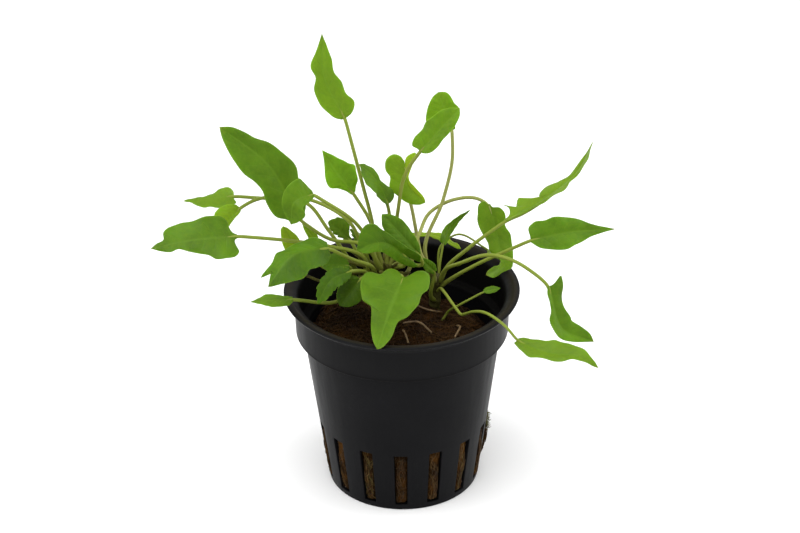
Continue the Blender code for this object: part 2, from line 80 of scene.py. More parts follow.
def makeStudio():
    bm = bmesh.new()
    bmesh.ops.create_circle(bm, cap_ends=True, segments=96, radius=lightSet["floorRadius"] * mm)
    mesh = bpy.data.meshes.new("studioFloor")
    bm.to_mesh(mesh)
    bm.free()
    floor = bpy.data.objects.new("studioFloor", mesh)
    bpy.context.collection.objects.link(floor)
    mesh.materials.append(Skin("floorWhite", lightSet["floorColour"]).finish(0.9, 0.1))
    world = bpy.data.worlds.new("studioSky")
    world.use_nodes = True
    sky = world.node_tree.nodes["Background"]
    sky.inputs["Color"].default_value = (*lightSet["skyColour"], 1)
    sky.inputs["Strength"].default_value = lightSet["skyStrength"]
    bpy.context.scene.world = world
    for name in ("top", "left", "right"):
        facts = lightSet[name]
        data = bpy.data.lights.new("softbox_" + name, "AREA")
        data.shape, data.size, data.energy = "DISK", facts["size"] * mm, facts["power"]
        lamp = bpy.data.objects.new("softbox_" + name, data)
        lamp.location = Vector(facts["at"]) * mm
        aim = Vector(lightSet["aim"]) * mm - lamp.location
        lamp.rotation_euler = aim.to_track_quat("-Z", "Y").to_euler()
        bpy.context.collection.objects.link(lamp)
    bpy.context.scene.view_settings.view_transform = "Standard"


# Helpers for meshes

def makePiece(name, points, faces, materials, replaced=(), faceSlots=None, maps=None):
    mesh = bpy.data.meshes.new(name)
    mesh.from_pydata([tuple(c * mm for c in p) for p in points], [], faces)
    for material in materials:
        mesh.materials.append(material)
    if faceSlots:
        mesh.polygons.foreach_set("material_index", faceSlots)
    for mapName, values in (maps or {}).items():
        layer = mesh.attributes.new(mapName, "FLOAT_VECTOR", "POINT")
        layer.data.foreach_set("vector", [c for value in values for c in value])
    mesh.shade_smooth()
    mesh.update()
    piece = bpy.data.objects.new(name, mesh)
    bpy.context.collection.objects.link(piece)
    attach(piece, "root")
    if replaced:
        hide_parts(*replaced)
    return piece


def flowCurve(points, step):
    # Smooth curve through the points; each span's pull follows its own length, so it never loops
    points = [Vector(p) for p in points]
    spans = [max((b - a).length, 1e-6) for a, b in zip(points, points[1:])]
    slopes = [(points[1] - points[0]) / spans[0]]
    for i in range(1, len(points) - 1):
        before = (points[i] - points[i - 1]) / spans[i - 1]
        after = (points[i + 1] - points[i]) / spans[i]
        slopes.append((before * spans[i] + after * spans[i - 1]) / (spans[i] + spans[i - 1]))
    slopes.append((points[-1] - points[-2]) / spans[-1])
    path = []
    for i, span in enumerate(spans):
        count = max(2, int(span / step + 0.5))
        for k in range(count):
            t = k / count
            a, b = 2 * t ** 3 - 3 * t * t + 1, t ** 3 - 2 * t * t + t
            c, d = 3 * t * t - 2 * t ** 3, t ** 3 - t * t
            path.append(points[i] * a + slopes[i] * (span * b)
                        + points[i + 1] * c + slopes[i + 1] * (span * d))
    path.append(points[-1].copy())
    return path


def walkLengths(path):
    walked = [0]
    for a, b in zip(path, path[1:]):
        walked.append(walked[-1] + (b - a).length)
    return walked


def pointAt(path, walked, distance):
    if distance <= 0:
        return path[0] + (path[1] - path[0]).normalized() * distance
    for i in range(len(path) - 1):
        if distance <= walked[i + 1]:
            return path[i].lerp(path[i + 1], (distance - walked[i]) / max(walked[i + 1] - walked[i], 1e-9))
    return path[-1].copy()


def addTube(points, faces, path, radii, sides):
    start = len(points)
    up = Vector((0, 0, 1))
    if abs((path[1] - path[0]).normalized().z) > 0.9:
        up = Vector((1, 0, 0))
    for i, middle in enumerate(path):
        forward = (path[min(i + 1, len(path) - 1)] - path[max(i - 1, 0)]).normalized()
        up = (up - forward * up.dot(forward)).normalized()
        side = up.cross(forward)
        for k in range(sides):
            turn = math.tau * k / sides
            points.append(middle + (up * math.cos(turn) + side * math.sin(turn)) * radii[i])
    for i in range(len(path) - 1):
        low, high = start + i * sides, start + (i + 1) * sides
        for k in range(sides):
            m = (k + 1) % sides
            faces.append((low + k, high + k, high + m, low + m))
    faces.append(tuple(range(start, start + sides)))
    faces.append(tuple(range(len(points) - 1, len(points) - 1 - sides, -1)))


def strayPath(chance, start, heading, length, wander, cling=None):
    # Four steps that wander off their heading; cling draws each of them back to a surface
    path = [start]
    for _ in range(4):
        heading = (heading + Vector([chance.gauss(0, wander) for _ in range(3)])).normalized()
        step = path[-1] + heading * (length / 4)
        path.append(cling(step) if cling else step)
    return path


def bump3(x, y, z, size):
    return noise.noise(Vector((x, y, z)) / size)


def blend(a, b, share):
    return a + (b - a) * share


def clamp(value):
    return min(max(value, 0), 1)


def wayTo(turn):
    return Vector((math.cos(turn), math.sin(turn), 0))


def upBy(height):
    return Vector((0, 0, height))


def fineName(node, ending="Fine"):
    # leaf_tall becomes leafTallFine
    first, *others = node.split("_")
    return first + "".join(word.capitalize() for word in others) + ending


# Helpers for materials

class Skin:
    # A material while it is built: a base colour, the coats laid over it, and last the finish
    def __init__(self, name, base):
        self.material = bpy.data.materials.new(name)
        self.material.use_nodes = True
        self.tree, self.tone = self.material.node_tree, base
        self.place = self.node("TexCoord").outputs["Object"]

    def plug(self, made, inputs):
        for key, value in inputs.items():
            socket = made.inputs[key]
            if isinstance(value, bpy.types.NodeSocket):
                self.tree.links.new(value, socket)
            else:
                socket.default_value = (*value, 1) if socket.type == "RGBA" else value

    def node(self, kind, inputs=None, **settings):
        made = self.tree.nodes.new("ShaderNode" + kind)
        for key, value in settings.items():
            setattr(made, key, value)
        self.plug(made, inputs or {})
        return made

    def calc(self, operation, *values):
        return self.node("Math", dict(enumerate(values)), operation=operation).outputs[0]

    def times(self, *values):
        return self.calc("MULTIPLY", *values)

    def plus(self, *values):
        return self.calc("ADD", *values)

    def noise(self, scale, detail=3, rough=0.55, bend=0, place=None):
        inputs = {"Scale": scale, "Detail": detail, "Roughness": rough, "Distortion": bend}
        inputs["Vector"] = self.place if place is None else place
        return self.node("TexNoise", inputs).outputs["Fac"]

    def spread(self, value, low, high, start=0, end=1):
        # What runs from low to high comes out from start to end, and no further
        inputs = {"Value": value, "From Min": low, "From Max": high, "To Min": start, "To Max": end}
        return self.node("MapRange", inputs).outputs[0]

    def vary(self, grain, start=0, end=1):
        return self.spread(grain, 0.3, 0.7, start, end)  # nearly all of a noise lies between these two

    def stretch(self, *scale):
        return self.node("Mapping", {"Vector": self.place, "Scale": scale}).outputs[0]

    def split(self, vector):
        return self.node("SeparateXYZ", {0: vector}).outputs[:3]

    def splitMap(self, name):
        return self.split(self.node("Attribute", attribute_name=name).outputs["Vector"])

    def coat(self, share, colour, way="MIX"):
        inputs = {0: share, 6: self.tone, 7: colour}
        self.tone = self.node("Mix", inputs, data_type="RGBA", blend_type=way).outputs[2]

    def finish(self, rough, shine=0.5, bump=None, soft=None):
        # Bump is (height, strength, distance); soft is (weight, radius, scale) of the light let in
        inputs = {"Base Color": self.tone, "Roughness": rough, "Specular IOR Level": shine}
        if bump:
            bump = dict(zip(("Height", "Strength", "Distance"), bump))
            inputs["Normal"] = self.node("Bump", bump).outputs[0]
        if soft:
            inputs.update(zip(("Subsurface Weight", "Subsurface Radius", "Subsurface Scale"), soft))
        self.plug(self.tree.nodes["Principled BSDF"], inputs)
        return self.material


makeCamera()
makeStudio()
print("camera, floor and lights made")


# Pot

potSet = {
    "height": 50.5, "lipRadius": 27.8, "collarRadius": 25.15, "bodyTopRadius": 23.35, "baseRadius": 18.35,
    "stepHeight": 39.8, "wall": 1, "floor": 1.2, "slots": 15, "slotTurn": -92, "slotHalfAngle": 4.5,
    "slotBottom": 1.6, "slotTop": 16.5, "drainInner": 7, "drainOuter": 14,
    "edgeRound": 0.16, "edgeAngle": 55,
    "bands": {  # in metres: where a tone begins and where it is full; then how much at each, if not 0 and 1
        # The collar band below is a painted reflection: the collar painted lighter than the body
        "dustyFoot": (0.02, 0, 0, 0.5), "collar": (0.0402, 0.0415, 0, 0.5),
        # Painted shade: a thin dark band round the step
        "seamFoot": (0.0394, 0.0398, 0, 0.55), "seamTop": (0.0408, 0.0402),
        # Painted shade: the inside wall above the step
        "innerFoot": (0.0402, 0.0406), "innerReach": (0.0249, 0.0244),
        "lipFoot": (0.0495, 0.0504), "lipReach": (0.0275, 0.0268)},
    "colour": (0.0034, 0.0034, 0.00391), "cloudColour": (0.0048, 0.0048, 0.00552),
    "dustColour": (0.011, 0.011, 0.0125), "lipColour": (0.015, 0.012, 0.008),
    # The collar colour paints a reflection as a lighter band; the inner colour is painted shade, for the
    # inside wall and the step band
    "collarSheenColour": (0.0085, 0.0085, 0.0088), "innerColour": (0.0022, 0.0018, 0.0013),
}


def bodyRadius(z):
    share = (z - potSet["slotBottom"]) / (potSet["stepHeight"] - potSet["slotBottom"])
    return blend(potSet["baseRadius"], potSet["bodyTopRadius"], share)


def roundProfile(corners):
    # Corners are (radius, height, rounding); each rounding becomes a small arc
    profile = []
    for i, (r, z, soft) in enumerate(corners):
        here = Vector((r, z))
        if soft == 0 or i in (0, len(corners) - 1):
            profile.append(here)
            continue
        a, b = (here + way.normalized() * min(soft, 0.45 * way.length)
                for way in (Vector(corners[i - 1][:2]) - here, Vector(corners[i + 1][:2]) - here))
        for k in range(5):
            t = k / 4
            profile.append(a * (1 - t) ** 2 + here * (2 * t * (1 - t)) + b * t * t)
    return [(p.x, p.y) for p in profile]


def makePotSkin():
    skin, bands = Skin("potPlastic", potSet["colour"]), potSet["bands"]
    cloud, speck = skin.noise(60, 4), skin.noise(900, 5, 0.7)
    streak = skin.noise(420, place=skin.stretch(1, 1, 0.06))
    height = skin.split(skin.place)[2]
    reach = skin.node("VectorMath", {0: skin.stretch(1, 1, 0)}, operation="LENGTH").outputs["Value"]
    dust = skin.times(skin.spread(speck, 0.52, 0.75), skin.spread(cloud, 0.4, 0.7))
    dust = skin.times(dust, skin.plus(0.25, skin.spread(height, *bands["dustyFoot"])))
    # A thin band round the step is painted darker: painted shade that dims the highlight on the collar's
    # rounded foot
    stepShade = skin.times(skin.spread(height, *bands["seamFoot"]), skin.spread(height, *bands["seamTop"]))
    # The inside wall above the step is painted darker and warmer: painted shade inside the pot
    inner = skin.times(skin.spread(height, *bands["innerFoot"]), skin.spread(reach, *bands["innerReach"]))
    worn = skin.times(skin.spread(height, *bands["lipFoot"]), skin.spread(reach, *bands["lipReach"]))
    shade = skin.calc("MAXIMUM", inner, stepShade)
    skin.coat(skin.vary(cloud), potSet["cloudColour"])
    skin.coat(dust, potSet["dustColour"])
    # The collar above the step is painted lighter, up to half way to its colour: a painted reflection
    skin.coat(skin.spread(height, *bands["collar"]), potSet["collarSheenColour"])
    # Both painted shades, the inside wall and the step band, laid on in one dark colour
    skin.coat(skin.times(shade, 0.8), potSet["innerColour"])
    skin.coat(worn, potSet["lipColour"])
    rough = skin.plus(skin.vary(streak, 0.34, 0.46), skin.times(dust, 0.3))
    rough = skin.plus(rough, skin.times(shade, 0.35))
    return skin.finish(rough, 0.05, (skin.plus(skin.times(speck, 0.6), streak), 0.12, 0.0003))


def potProfiles():
    # Outside and inside from the drain slots up; both end at the crest of the lip
    s = potSet
    high, lip, collar, body = s["height"], s["lipRadius"], s["collarRadius"], s["bodyTopRadius"]
    step, wall, base = s["stepHeight"], s["wall"], s["baseRadius"]
    low, top = s["slotBottom"], s["slotTop"]
    outside = roundProfile([
        (s["drainInner"], 0, 0), (s["drainOuter"], 0, 0), (base - 0.3, 0, 0.3), (base, low, 0),
        (bodyRadius(top), top, 0), (body, step, 0.3), (collar - 0.05, step + 0.05, 0.5),
        (collar + 0.2, high - 2.1, 0.7), (lip - 0.25, high - 0.75, 0.7),
        (lip, high, 0.5), (lip - 0.9, high, 0),
    ])
    inside = roundProfile([
        (s["drainInner"], s["floor"], 0), (s["drainOuter"], s["floor"], 0),
        (base - wall - 0.2, s["floor"], 0.2), (base - wall, low, 0), (bodyRadius(top) - wall, top, 0),
        (body - wall, step + 0.9, 0.5), (collar - wall, step + 1.2, 0.5),
        (collar - wall + 0.1, high - 1.4, 0.6), (lip - 1.6, high, 0.6), (lip - 0.9, high, 0),
    ])
    return outside, inside[:-1]


def makePot():
    s = potSet
    outside, inside = profiles = potProfiles()
    pitch, half = math.tau / s["slots"], math.radians(s["slotHalfAngle"])
    angles = []
    for i in range(s["slots"]):
        middle = math.radians(s["slotTurn"]) + i * pitch
        angles += [middle - half, middle - half / 3, middle + half / 3, middle + half]
        angles += [middle + half + (pitch - 2 * half) * k / 5 for k in range(1, 5)]
    count, each = len(angles), len(angles) // s["slots"]
    rings = [ring for profile in profiles for ring in profile]
    points, faces = [(r * math.cos(a), r * math.sin(a), z) for r, z in rings for a in angles], []

    def quadAt(side, band, cell):
        start = (side * len(outside) + band) * count
        here, after = cell % count, (cell + 1) % count
        return [start + here, start + after, start + count + after, start + count + here]

    def bandAt(profile, r, z):
        return min(range(len(profile)), key=lambda i: abs(profile[i][0] - r) + abs(profile[i][1] - z))

    base, low = s["baseRadius"], s["slotBottom"]
    slotBands = (bandAt(outside, base, low), bandAt(inside, base - s["wall"], low))
    openings = [
        ((0, 0), [each * i + k for i in range(1, s["slots"], 3) for k in range(3)]),  # drain slots
        (slotBands, [each * i + k for i in range(s["slots"]) for k in range(3)]),
    ]
    for side, profile in enumerate(profiles):
        for band in range(len(profile) - 1):
            closed = [cells for bands, cells in openings if bands[side] == band]
            for cell in range(count):
                if closed and cell in closed[0]:
                    continue
                quad = quadAt(side, band, cell)
                faces.append(quad[::-1] if side else quad)
    for cell in range(count):
        faces.append(quadAt(0, len(outside) - 1, cell)[:2] + quadAt(1, len(inside) - 1, cell)[1::-1])
    for side, z in enumerate((0, s["floor"])):
        points.append((0, 0, z))
        for cell in range(count):
            tri = [len(points) - 1] + quadAt(side, 0, cell)[1::-1]
            faces.append(tri[::-1] if side else tri)
    for bands, cells in openings:
        for cell in cells:
            near, far = quadAt(0, bands[0], cell), quadAt(1, bands[1], cell)
            walls = [0, 2] + ([1] if cell + 1 not in cells else []) + ([3] if cell - 1 not in cells else [])
            for a in walls:
                b = (a + 1) % 4
                faces.append((near[a], near[b], far[b], far[a]))
    pot = makePiece("potFine", points, faces, [makePotSkin()], ["pot"])
    soften = pot.modifiers.new("soften", "BEVEL")
    soften.width, soften.segments, soften.limit_method = s["edgeRound"] * mm, 2, "ANGLE"
    soften.angle_limit = math.radians(s["edgeAngle"])
    soften.use_clamp_overlap = True
    even = pot.modifiers.new("even", "WEIGHTED_NORMAL")
    even.keep_sharp = True


makePot()
print("pot made")


# Wool in the pot, and its loose fibres

woolSet = {
    "top": 39.8, "columns": 256, "topRings": 44, "edgeAt": 37, "gap": 1.3, "swell": (1.1, 0.7),
    "lump": 0.55, "lumpSize": 1.9, "bulgeSlot": 4, "bulge": 1.2, "fullSlots": (3, 12), "full": 0.35,
    "dark": (0.0085, 0.0038, 0.0012), "mid": (0.037, 0.0165, 0.0042), "light": (0.085, 0.039, 0.009),
    "orange": (0.11, 0.046, 0.008),
}
fibreSet = {
    "topCount": 3000, "slotCount": 75, "radius": (0.05, 0.11), "length": (2, 6.5), "seed": 11,
    "wander": 0.28, "taper": (0.6, 1, 1, 0.9, 0.4), "topReach": 20.6, "topEdge": 21,
    "lifts": (0.05, 0.1, 0.2, 0.35), "slotReach": 3.9, "slotHeights": (2, 16.8), "slotLength": (2, 6),
    "dark": (0.012, 0.0055, 0.0018), "red": (0.052, 0.02, 0.004), "gold": (0.12, 0.066, 0.016),
    "olive": (0.1, 0.085, 0.02), "oliveSlots": (2, 14),
}


def woolHeight(x, y):
    lumps = 0.5 * math.sin(0.45 * x + 0.8) + 0.45 * math.cos(0.52 * y + 0.3 * x)
    return woolSet["top"] + lumps - 0.45 * max(0, 0.75 * x + 0.45 * y - 9)


def woolTopAt(x, y):
    size = woolSet["lumpSize"]
    rough = bump3(x, y, 3, size) + 0.5 * bump3(x, y, 8, 0.45 * size)
    return woolHeight(x, y) + woolSet["lump"] * rough


def woolSide(z):
    gap = woolSet["gap"]
    rows = [(1.6, 15.6), (1.8, 16.9), (2.1, bodyRadius(2.1) - gap), (40, bodyRadius(40) - gap)]
    for (za, ra), (zb, rb) in zip(rows, rows[1:]):
        if z <= zb:
            return ra + (rb - ra) * (z - za) / (zb - za)
    return rows[-1][1]


def slotSwell(turn, z):
    # How far the wool swells out into a slot at this turn and height
    pitch = math.tau / potSet["slots"]
    around = turn - math.radians(potSet["slotTurn"]) + 0.5 * pitch
    off = abs(around % pitch - 0.5 * pitch)
    across = clamp((math.radians(potSet["slotHalfAngle"] - 0.4) - off) / math.radians(1.2))
    along = clamp((z - 1.65) / 0.5) * clamp(16.3 - z)
    full = blend(*woolSet["swell"], clamp((z - 10) / 4))
    slot = int(around // pitch) % potSet["slots"]
    if slot in woolSet["fullSlots"]:
        full += woolSet["full"]
    if slot == woolSet["bulgeSlot"]:
        full += woolSet["bulge"] * max(0, math.sin(math.pi * clamp((z - 2.6) / 12.4)))
    return full * across * along


def addPatches(skin, share, dark):
    # Broad orange and dark patches, in the same places on the wool and its fibres
    patch = skin.noise(130, 2)
    skin.coat(skin.spread(patch, 0.52, 0.68, 0, share), woolSet["orange"])
    skin.coat(skin.spread(patch, 0.44, 0.32, 0, 0.6), dark)


def makeWoolSkin():
    skin = Skin("woolSkin", woolSet["dark"])
    clump, strand = skin.noise(420, 4), skin.noise(1500, 6, 0.75, 2.5)
    skin.coat(skin.spread(clump, 0.35, 0.65), woolSet["mid"])
    skin.coat(skin.spread(strand, 0.52, 0.72), woolSet["light"])
    addPatches(skin, 0.6, woolSet["dark"])
    rough = skin.vary(strand, 0.8, 1)
    return skin.finish(rough, 0.04, (skin.plus(clump, strand), 0.8, 0.0006))


def makeWool():
    columns, rings = woolSet["columns"], woolSet["topRings"]
    turns = [math.tau * k / columns for k in range(columns)]
    heights = [1.6, 1.7, 1.85, 2.1, 2.4, 3]
    heights += [3.7 + 0.7 * k for k in range(20)] + [19 + 2.4 * k for k in range(8)]
    edge = woolSide(woolSet["edgeAt"]) - 0.3
    points, faces = [], []
    for z in heights:
        for turn in turns:
            radius = woolSide(z) + slotSwell(turn, z)
            x, y = radius * math.cos(turn), radius * math.sin(turn)
            pull = 0.3 * bump3(x, y, z, 1.6) if z > 2.2 else 0
            scale = (radius + min(pull, 0.15) - 0.1) / radius
            points.append((x * scale, y * scale, z))
    for i in range(rings):
        share = 1 - i / rings
        drop = 2 * max(0, (share - 0.93) / 0.07) ** 2
        for turn in turns:
            x, y = edge * share * math.cos(turn), edge * share * math.sin(turn)
            points.append((x, y, woolTopAt(x, y) - drop))
    last = len(points) - columns
    for low in range(0, last, columns):
        high = low + columns
        for k in range(columns):
            m = (k + 1) % columns
            faces.append((low + k, low + m, high + m, high + k))
    points += [(0, 0, heights[0]), (0, 0, woolTopAt(0, 0))]
    foot, crest = len(points) - 2, len(points) - 1
    faces += [(foot, (k + 1) % columns, k) for k in range(columns)]
    faces += [(crest, last + k, last + (k + 1) % columns) for k in range(columns)]
    makePiece("woolFine", points, faces, [makeWoolSkin()], ["rockwool"])


def makeFibreSkin():
    skin = Skin("fibreSkin", fibreSet["dark"])
    for share, colour in zip(skin.splitMap("fibreTone"), ("red", "gold", "olive")):
        skin.coat(share, fibreSet[colour])
    addPatches(skin, 0.45, fibreSet["dark"])
    skin.coat(skin.vary(skin.noise(700), 0, 0.35), fibreSet["dark"])
    return skin.finish(skin.vary(skin.noise(1800), 0.5, 0.75), 0.15)


def makeFibres():
    s = fibreSet
    chance = random.Random(s["seed"])
    points, faces, tones = [], [], []

    def addFibre(start, heading, length, radius, tone, cling):
        path = strayPath(chance, start, heading, length, s["wander"], cling)
        addTube(points, faces, path, [radius * f for f in s["taper"]], 3)
        tones.extend([tone] * (len(points) - len(tones)))

    for _ in range(s["topCount"]):
        radius, turn = s["topReach"] * math.sqrt(chance.random()), chance.uniform(0, math.tau)
        x, y = radius * math.cos(turn), radius * math.sin(turn)
        lift = chance.choice(s["lifts"]) + max(0, chance.gauss(0, 0.15))

        def clingTop(p, lift=lift):
            reach = math.hypot(p.x, p.y)
            if reach > s["topEdge"]:
                p = Vector((p.x * s["topEdge"] / reach, p.y * s["topEdge"] / reach, p.z))
            return Vector((p.x, p.y, 0.35 * p.z + 0.65 * (woolTopAt(p.x, p.y) + lift)))

        way = chance.uniform(0, math.tau)
        addFibre(Vector((x, y, woolTopAt(x, y) + lift)), wayTo(way),
                 chance.uniform(*s["length"]), chance.uniform(*s["radius"]),
                 (chance.random() ** 0.8, 0.55 * chance.random() ** 3, 0), clingTop)
    for slot in range(potSet["slots"]):
        middle = math.radians(potSet["slotTurn"]) + slot * (math.tau / potSet["slots"])
        gold = 0.15 if slot == 0 else chance.uniform(0.45, 0.9)
        olive = 0.8 if slot in s["oliveSlots"] else 0.15
        for _ in range(s["slotCount"]):
            turn = middle + math.radians(chance.uniform(-s["slotReach"], s["slotReach"]))
            z, lift = chance.uniform(*s["slotHeights"]), chance.uniform(0, 0.45)

            def clingSide(p, lift=lift):
                z = min(max(p.z, 2), 17.5)
                reach = woolSide(z) + slotSwell(math.atan2(p.y, p.x), z)
                reach = reach + lift * (0.35 if z < 16 else 0) - 0.05
                return Vector((p.x, p.y, 0)).normalized() * reach + upBy(z)

            along = Vector((-math.sin(turn), math.cos(turn), 0)) * chance.gauss(0, 0.22)
            heading = (along + upBy(chance.choice((-1, 1)))).normalized()
            start = clingSide(wayTo(turn) * 17 + upBy(z))
            addFibre(start, heading, chance.uniform(*s["slotLength"]), chance.uniform(*s["radius"]) * 1.15,
                     (chance.random(), gold * chance.random() ** 1.5, olive * chance.random() ** 3),
                     clingSide)
    makePiece("woolFibres", points, faces, [makeFibreSkin()], maps={"fibreTone": tones})


makeWool()
makeFibres()
print("wool and fibres made")


# Rootstocks and roots

crownSet = {
    "crown_left": {"foot": (-1.5, 3, 35), "top": (-3.5, 3.2, 54.5), "radii": (3, 2), "flare": 0.25,
                   "dark": (0.035, 0.028, 0.004), "light": (0.12, 0.125, 0.016), "pale": (0.19, 0.19, 0.035)},
    # The right rootstock's colours are darker than the left one's: painted shade, where it stands in shade
    "crown_right": {"foot": (7.5, 10.5, 35), "top": (8.6, 9, 49), "radii": (1.9, 1.4), "flare": 0.1,
                    "slim": 0.82, "dark": (0.03, 0.026, 0.005), "light": (0.075, 0.075, 0.014),
                    "pale": (0.13, 0.13, 0.04)},
}
# Each stub of an old stalk: its turn round the left rootstock, share of its height, lean, length, radius
crownLook = {
    "scars": 9, "scarDepth": 0.22, "knob": 0.08, "oldStalkRadius": 0.42,
    "stubTaper": (1.25, 1.2, 1.1, 1, 0.95, 0.9, 0.8, 0.45),
    "stubs": [(248, 0.9, 0.6, 3.4, 0.62), (283, 0.94, 0.35, 3.8, 0.66), (318, 0.88, 0.7, 3, 0.6),
              (352, 0.82, 0.8, 3, 0.55), (206, 0.93, 0.7, 2.8, 0.55), (30, 0.95, 0.4, 3.4, 0.6),
              (100, 0.94, 0.4, 3.2, 0.6), (268, 0.76, 0.9, 2.4, 0.6), (300, 0.72, 1, 2.6, 0.5),
              (180, 0.93, 1.8, 6.5, 0.5), (200, 0.9, 2.2, 6, 0.45), (165, 0.95, 1.2, 6, 0.5),
              (222, 0.88, 1.6, 5.5, 0.5), (150, 0.9, 1.5, 5, 0.45), (238, 0.86, 1.2, 5, 0.42),
              (262, 0.97, 0.5, 4.8, 0.42), (300, 0.97, 0.6, 4.6, 0.42), (335, 0.95, 0.9, 4.8, 0.4),
              (10, 0.93, 1, 4.2, 0.45), (275, 0.9, 1.4, 3.6, 0.4), (325, 0.85, 1.3, 3.8, 0.45)],
    "oldStalk": [(-4.5, 1.5, 51), (-9, 0.4, 51.4), (-13, -1, 52), (-18.8, -2, 53.6), (-21.8, -2, 55),
                 (-23.8, -2, 55.6)],
}
rootSet = {
    "radii": {"root_1": 0.2, "root_2": 0.24, "root_3": 0.22, "root_4": 0.27},
    "colour": (0.22, 0.14, 0.058), "deep": (0.09, 0.054, 0.021), "lift": 0.55,
    "routes": {
        "root_1": [(3.6, 8.2, 0), (6, 6.4, 0.5), (9.6, 6.9, 0)],
        "root_2": [(0.4, -0.4, 0), (3.6, -0.2, 0.4), (6.8, -3.5, 0)],
        "root_3": [(0.2, -3, 0), (0.6, -5, 0.8), (1.4, -8.5, 0)],
        "root_4": [(13, 0.4, 0), (13.6, -3, 1), (12.4, -6.4, 0)],
    },
}


def makeCrownSkin(name, facts):
    skin = Skin(name, facts["dark"])
    patch, streak = skin.noise(350, 4), skin.noise(2200, place=skin.stretch(1, 1, 0.2))
    skin.coat(skin.spread(patch, 0.35, 0.65), facts["light"])
    skin.coat(skin.spread(streak, 0.5, 0.8, 0, 0.5), facts["pale"])
    rough = skin.vary(patch, 0.5, 0.75)
    return skin.finish(rough, 0.2, (skin.plus(patch, streak), 0.5, 0.0003))


def addStubs(points, faces, foot, top, radii):
    for turn, share, lean, length, wide in crownLook["stubs"]:
        out = wayTo(math.radians(turn))
        here = foot.lerp(top, share) + out * blend(*radii, share) * 0.8
        heading = (out * lean + upBy(1)).normalized()
        path = [here + heading * length * k / 7 + out * 0.04 * k * k * lean for k in range(8)]
        addTube(points, faces, path, [wide * f for f in crownLook["stubTaper"]], 10)


def makeCrowns():
    for node, facts in crownSet.items():
        foot, top = Vector(facts["foot"]), Vector(facts["top"])
        path, radii = [], []
        for i in range(37):
            share = i / 36
            knob = 1 + crownLook["knob"] * math.sin(5 * share * math.pi) - 0.3 * max(0, share - 0.9) / 0.1
            ridge = abs(math.sin(share * crownLook["scars"] * math.pi))
            wide = blend(*facts["radii"], share) * facts.get("slim", 1)
            path.append(foot.lerp(top, share))
            radii.append(wide * knob - crownLook["scarDepth"] * (1 - ridge) ** 3)
        points, faces = [], []
        addTube(points, faces, path, radii, 28)
        for i, p in enumerate(points):
            out = Vector((p.x - foot.x, p.y - foot.y, 0))
            if out.length > 0.01:
                points[i] = p + out.normalized() * 0.3 * bump3(p.x, p.y, 0.6 * p.z, 1.1)
        if node == "crown_left":
            addStubs(points, faces, foot, top, facts["radii"])
            route = flowCurve(crownLook["oldStalk"], 0.6)
            thin = [crownLook["oldStalkRadius"] - 0.1 * i / len(route) for i in range(len(route))]
            addTube(points, faces, route, thin, 10)
        skin = makeCrownSkin(fineName(node, "Skin"), facts)
        makePiece(fineName(node), points, faces, [skin], [node])


def makeRootSkin():
    skin = Skin("rootSkin", rootSet["colour"])
    patch = skin.noise(800, 4)
    skin.coat(skin.spread(patch, 0.35, 0.7), rootSet["deep"])
    return skin.finish(skin.vary(patch, 0.45, 0.7), bump=(patch, 0.3, 0.0002))


def makeRoots():
    material = makeRootSkin()
    for node, route in rootSet["routes"].items():
        path = flowCurve([(x, y, woolHeight(x, y) + rootSet["lift"] + lift) for x, y, lift in route], 0.25)
        path = [path[0] - upBy(0.9), *path, path[-1] - upBy(0.9)]
        points, faces, radii = [], [], []
        for i, p in enumerate(path):
            wide = rootSet["radii"][node] * (1 + 0.25 * bump3(p.x, p.y, p.z, 0.8))
            radii.append(wide * (0.7 if i in (0, len(path) - 1) else 1))
        addTube(points, faces, path, radii, 12)
        makePiece(fineName(node), points, faces, [material], [node])


makeCrowns()
makeRoots()
print("rootstocks and roots made")


# Leaves

leafSet = {
    "rows": 46, "columns": 8, "thickness": 0.32, "marginThickness": 0.12, "fold": 12, "ripple": 0.35,
    "stalkFoot": 0.47, "stalkTop": 0.41, "flareLength": 2.2, "stalkSides": 12,
    "stalkStep": 0.7, "veins": 8, "veinSweep": 0.2, "quilt": 0.09, "jointReach": 1.6, "jointPasses": 6,
    "columnCrowd": 1.25, "waves": (2.3, 5.7), "ribReach": 0.08,
    "deep": (0.042, 0.105, 0.003), "fresh": (0.075, 0.175, 0.005), "yellow": (0.15, 0.22, 0.008),
    "under": (0.11, 0.2, 0.015), "vein": (0.1, 0.2, 0.01), "margin": (0.13, 0.23, 0.02),
    "stalkGreen": (0.15, 0.22, 0.017), "stalkOlive": (0.19, 0.24, 0.022), "stalkBrown": (0.1, 0.085, 0.018),
    "stalkPale": (0.4, 0.38, 0.15), "stalkLine": (0.27, 0.3, 0.075), "brownTip": (0.13, 0.09, 0.02),
    "bladeSoft": (0.35, (0.7, 1, 0.25), 0.0008), "stalkSoft": (0.2, (0.6, 0.8, 0.2), 0.0006),
}
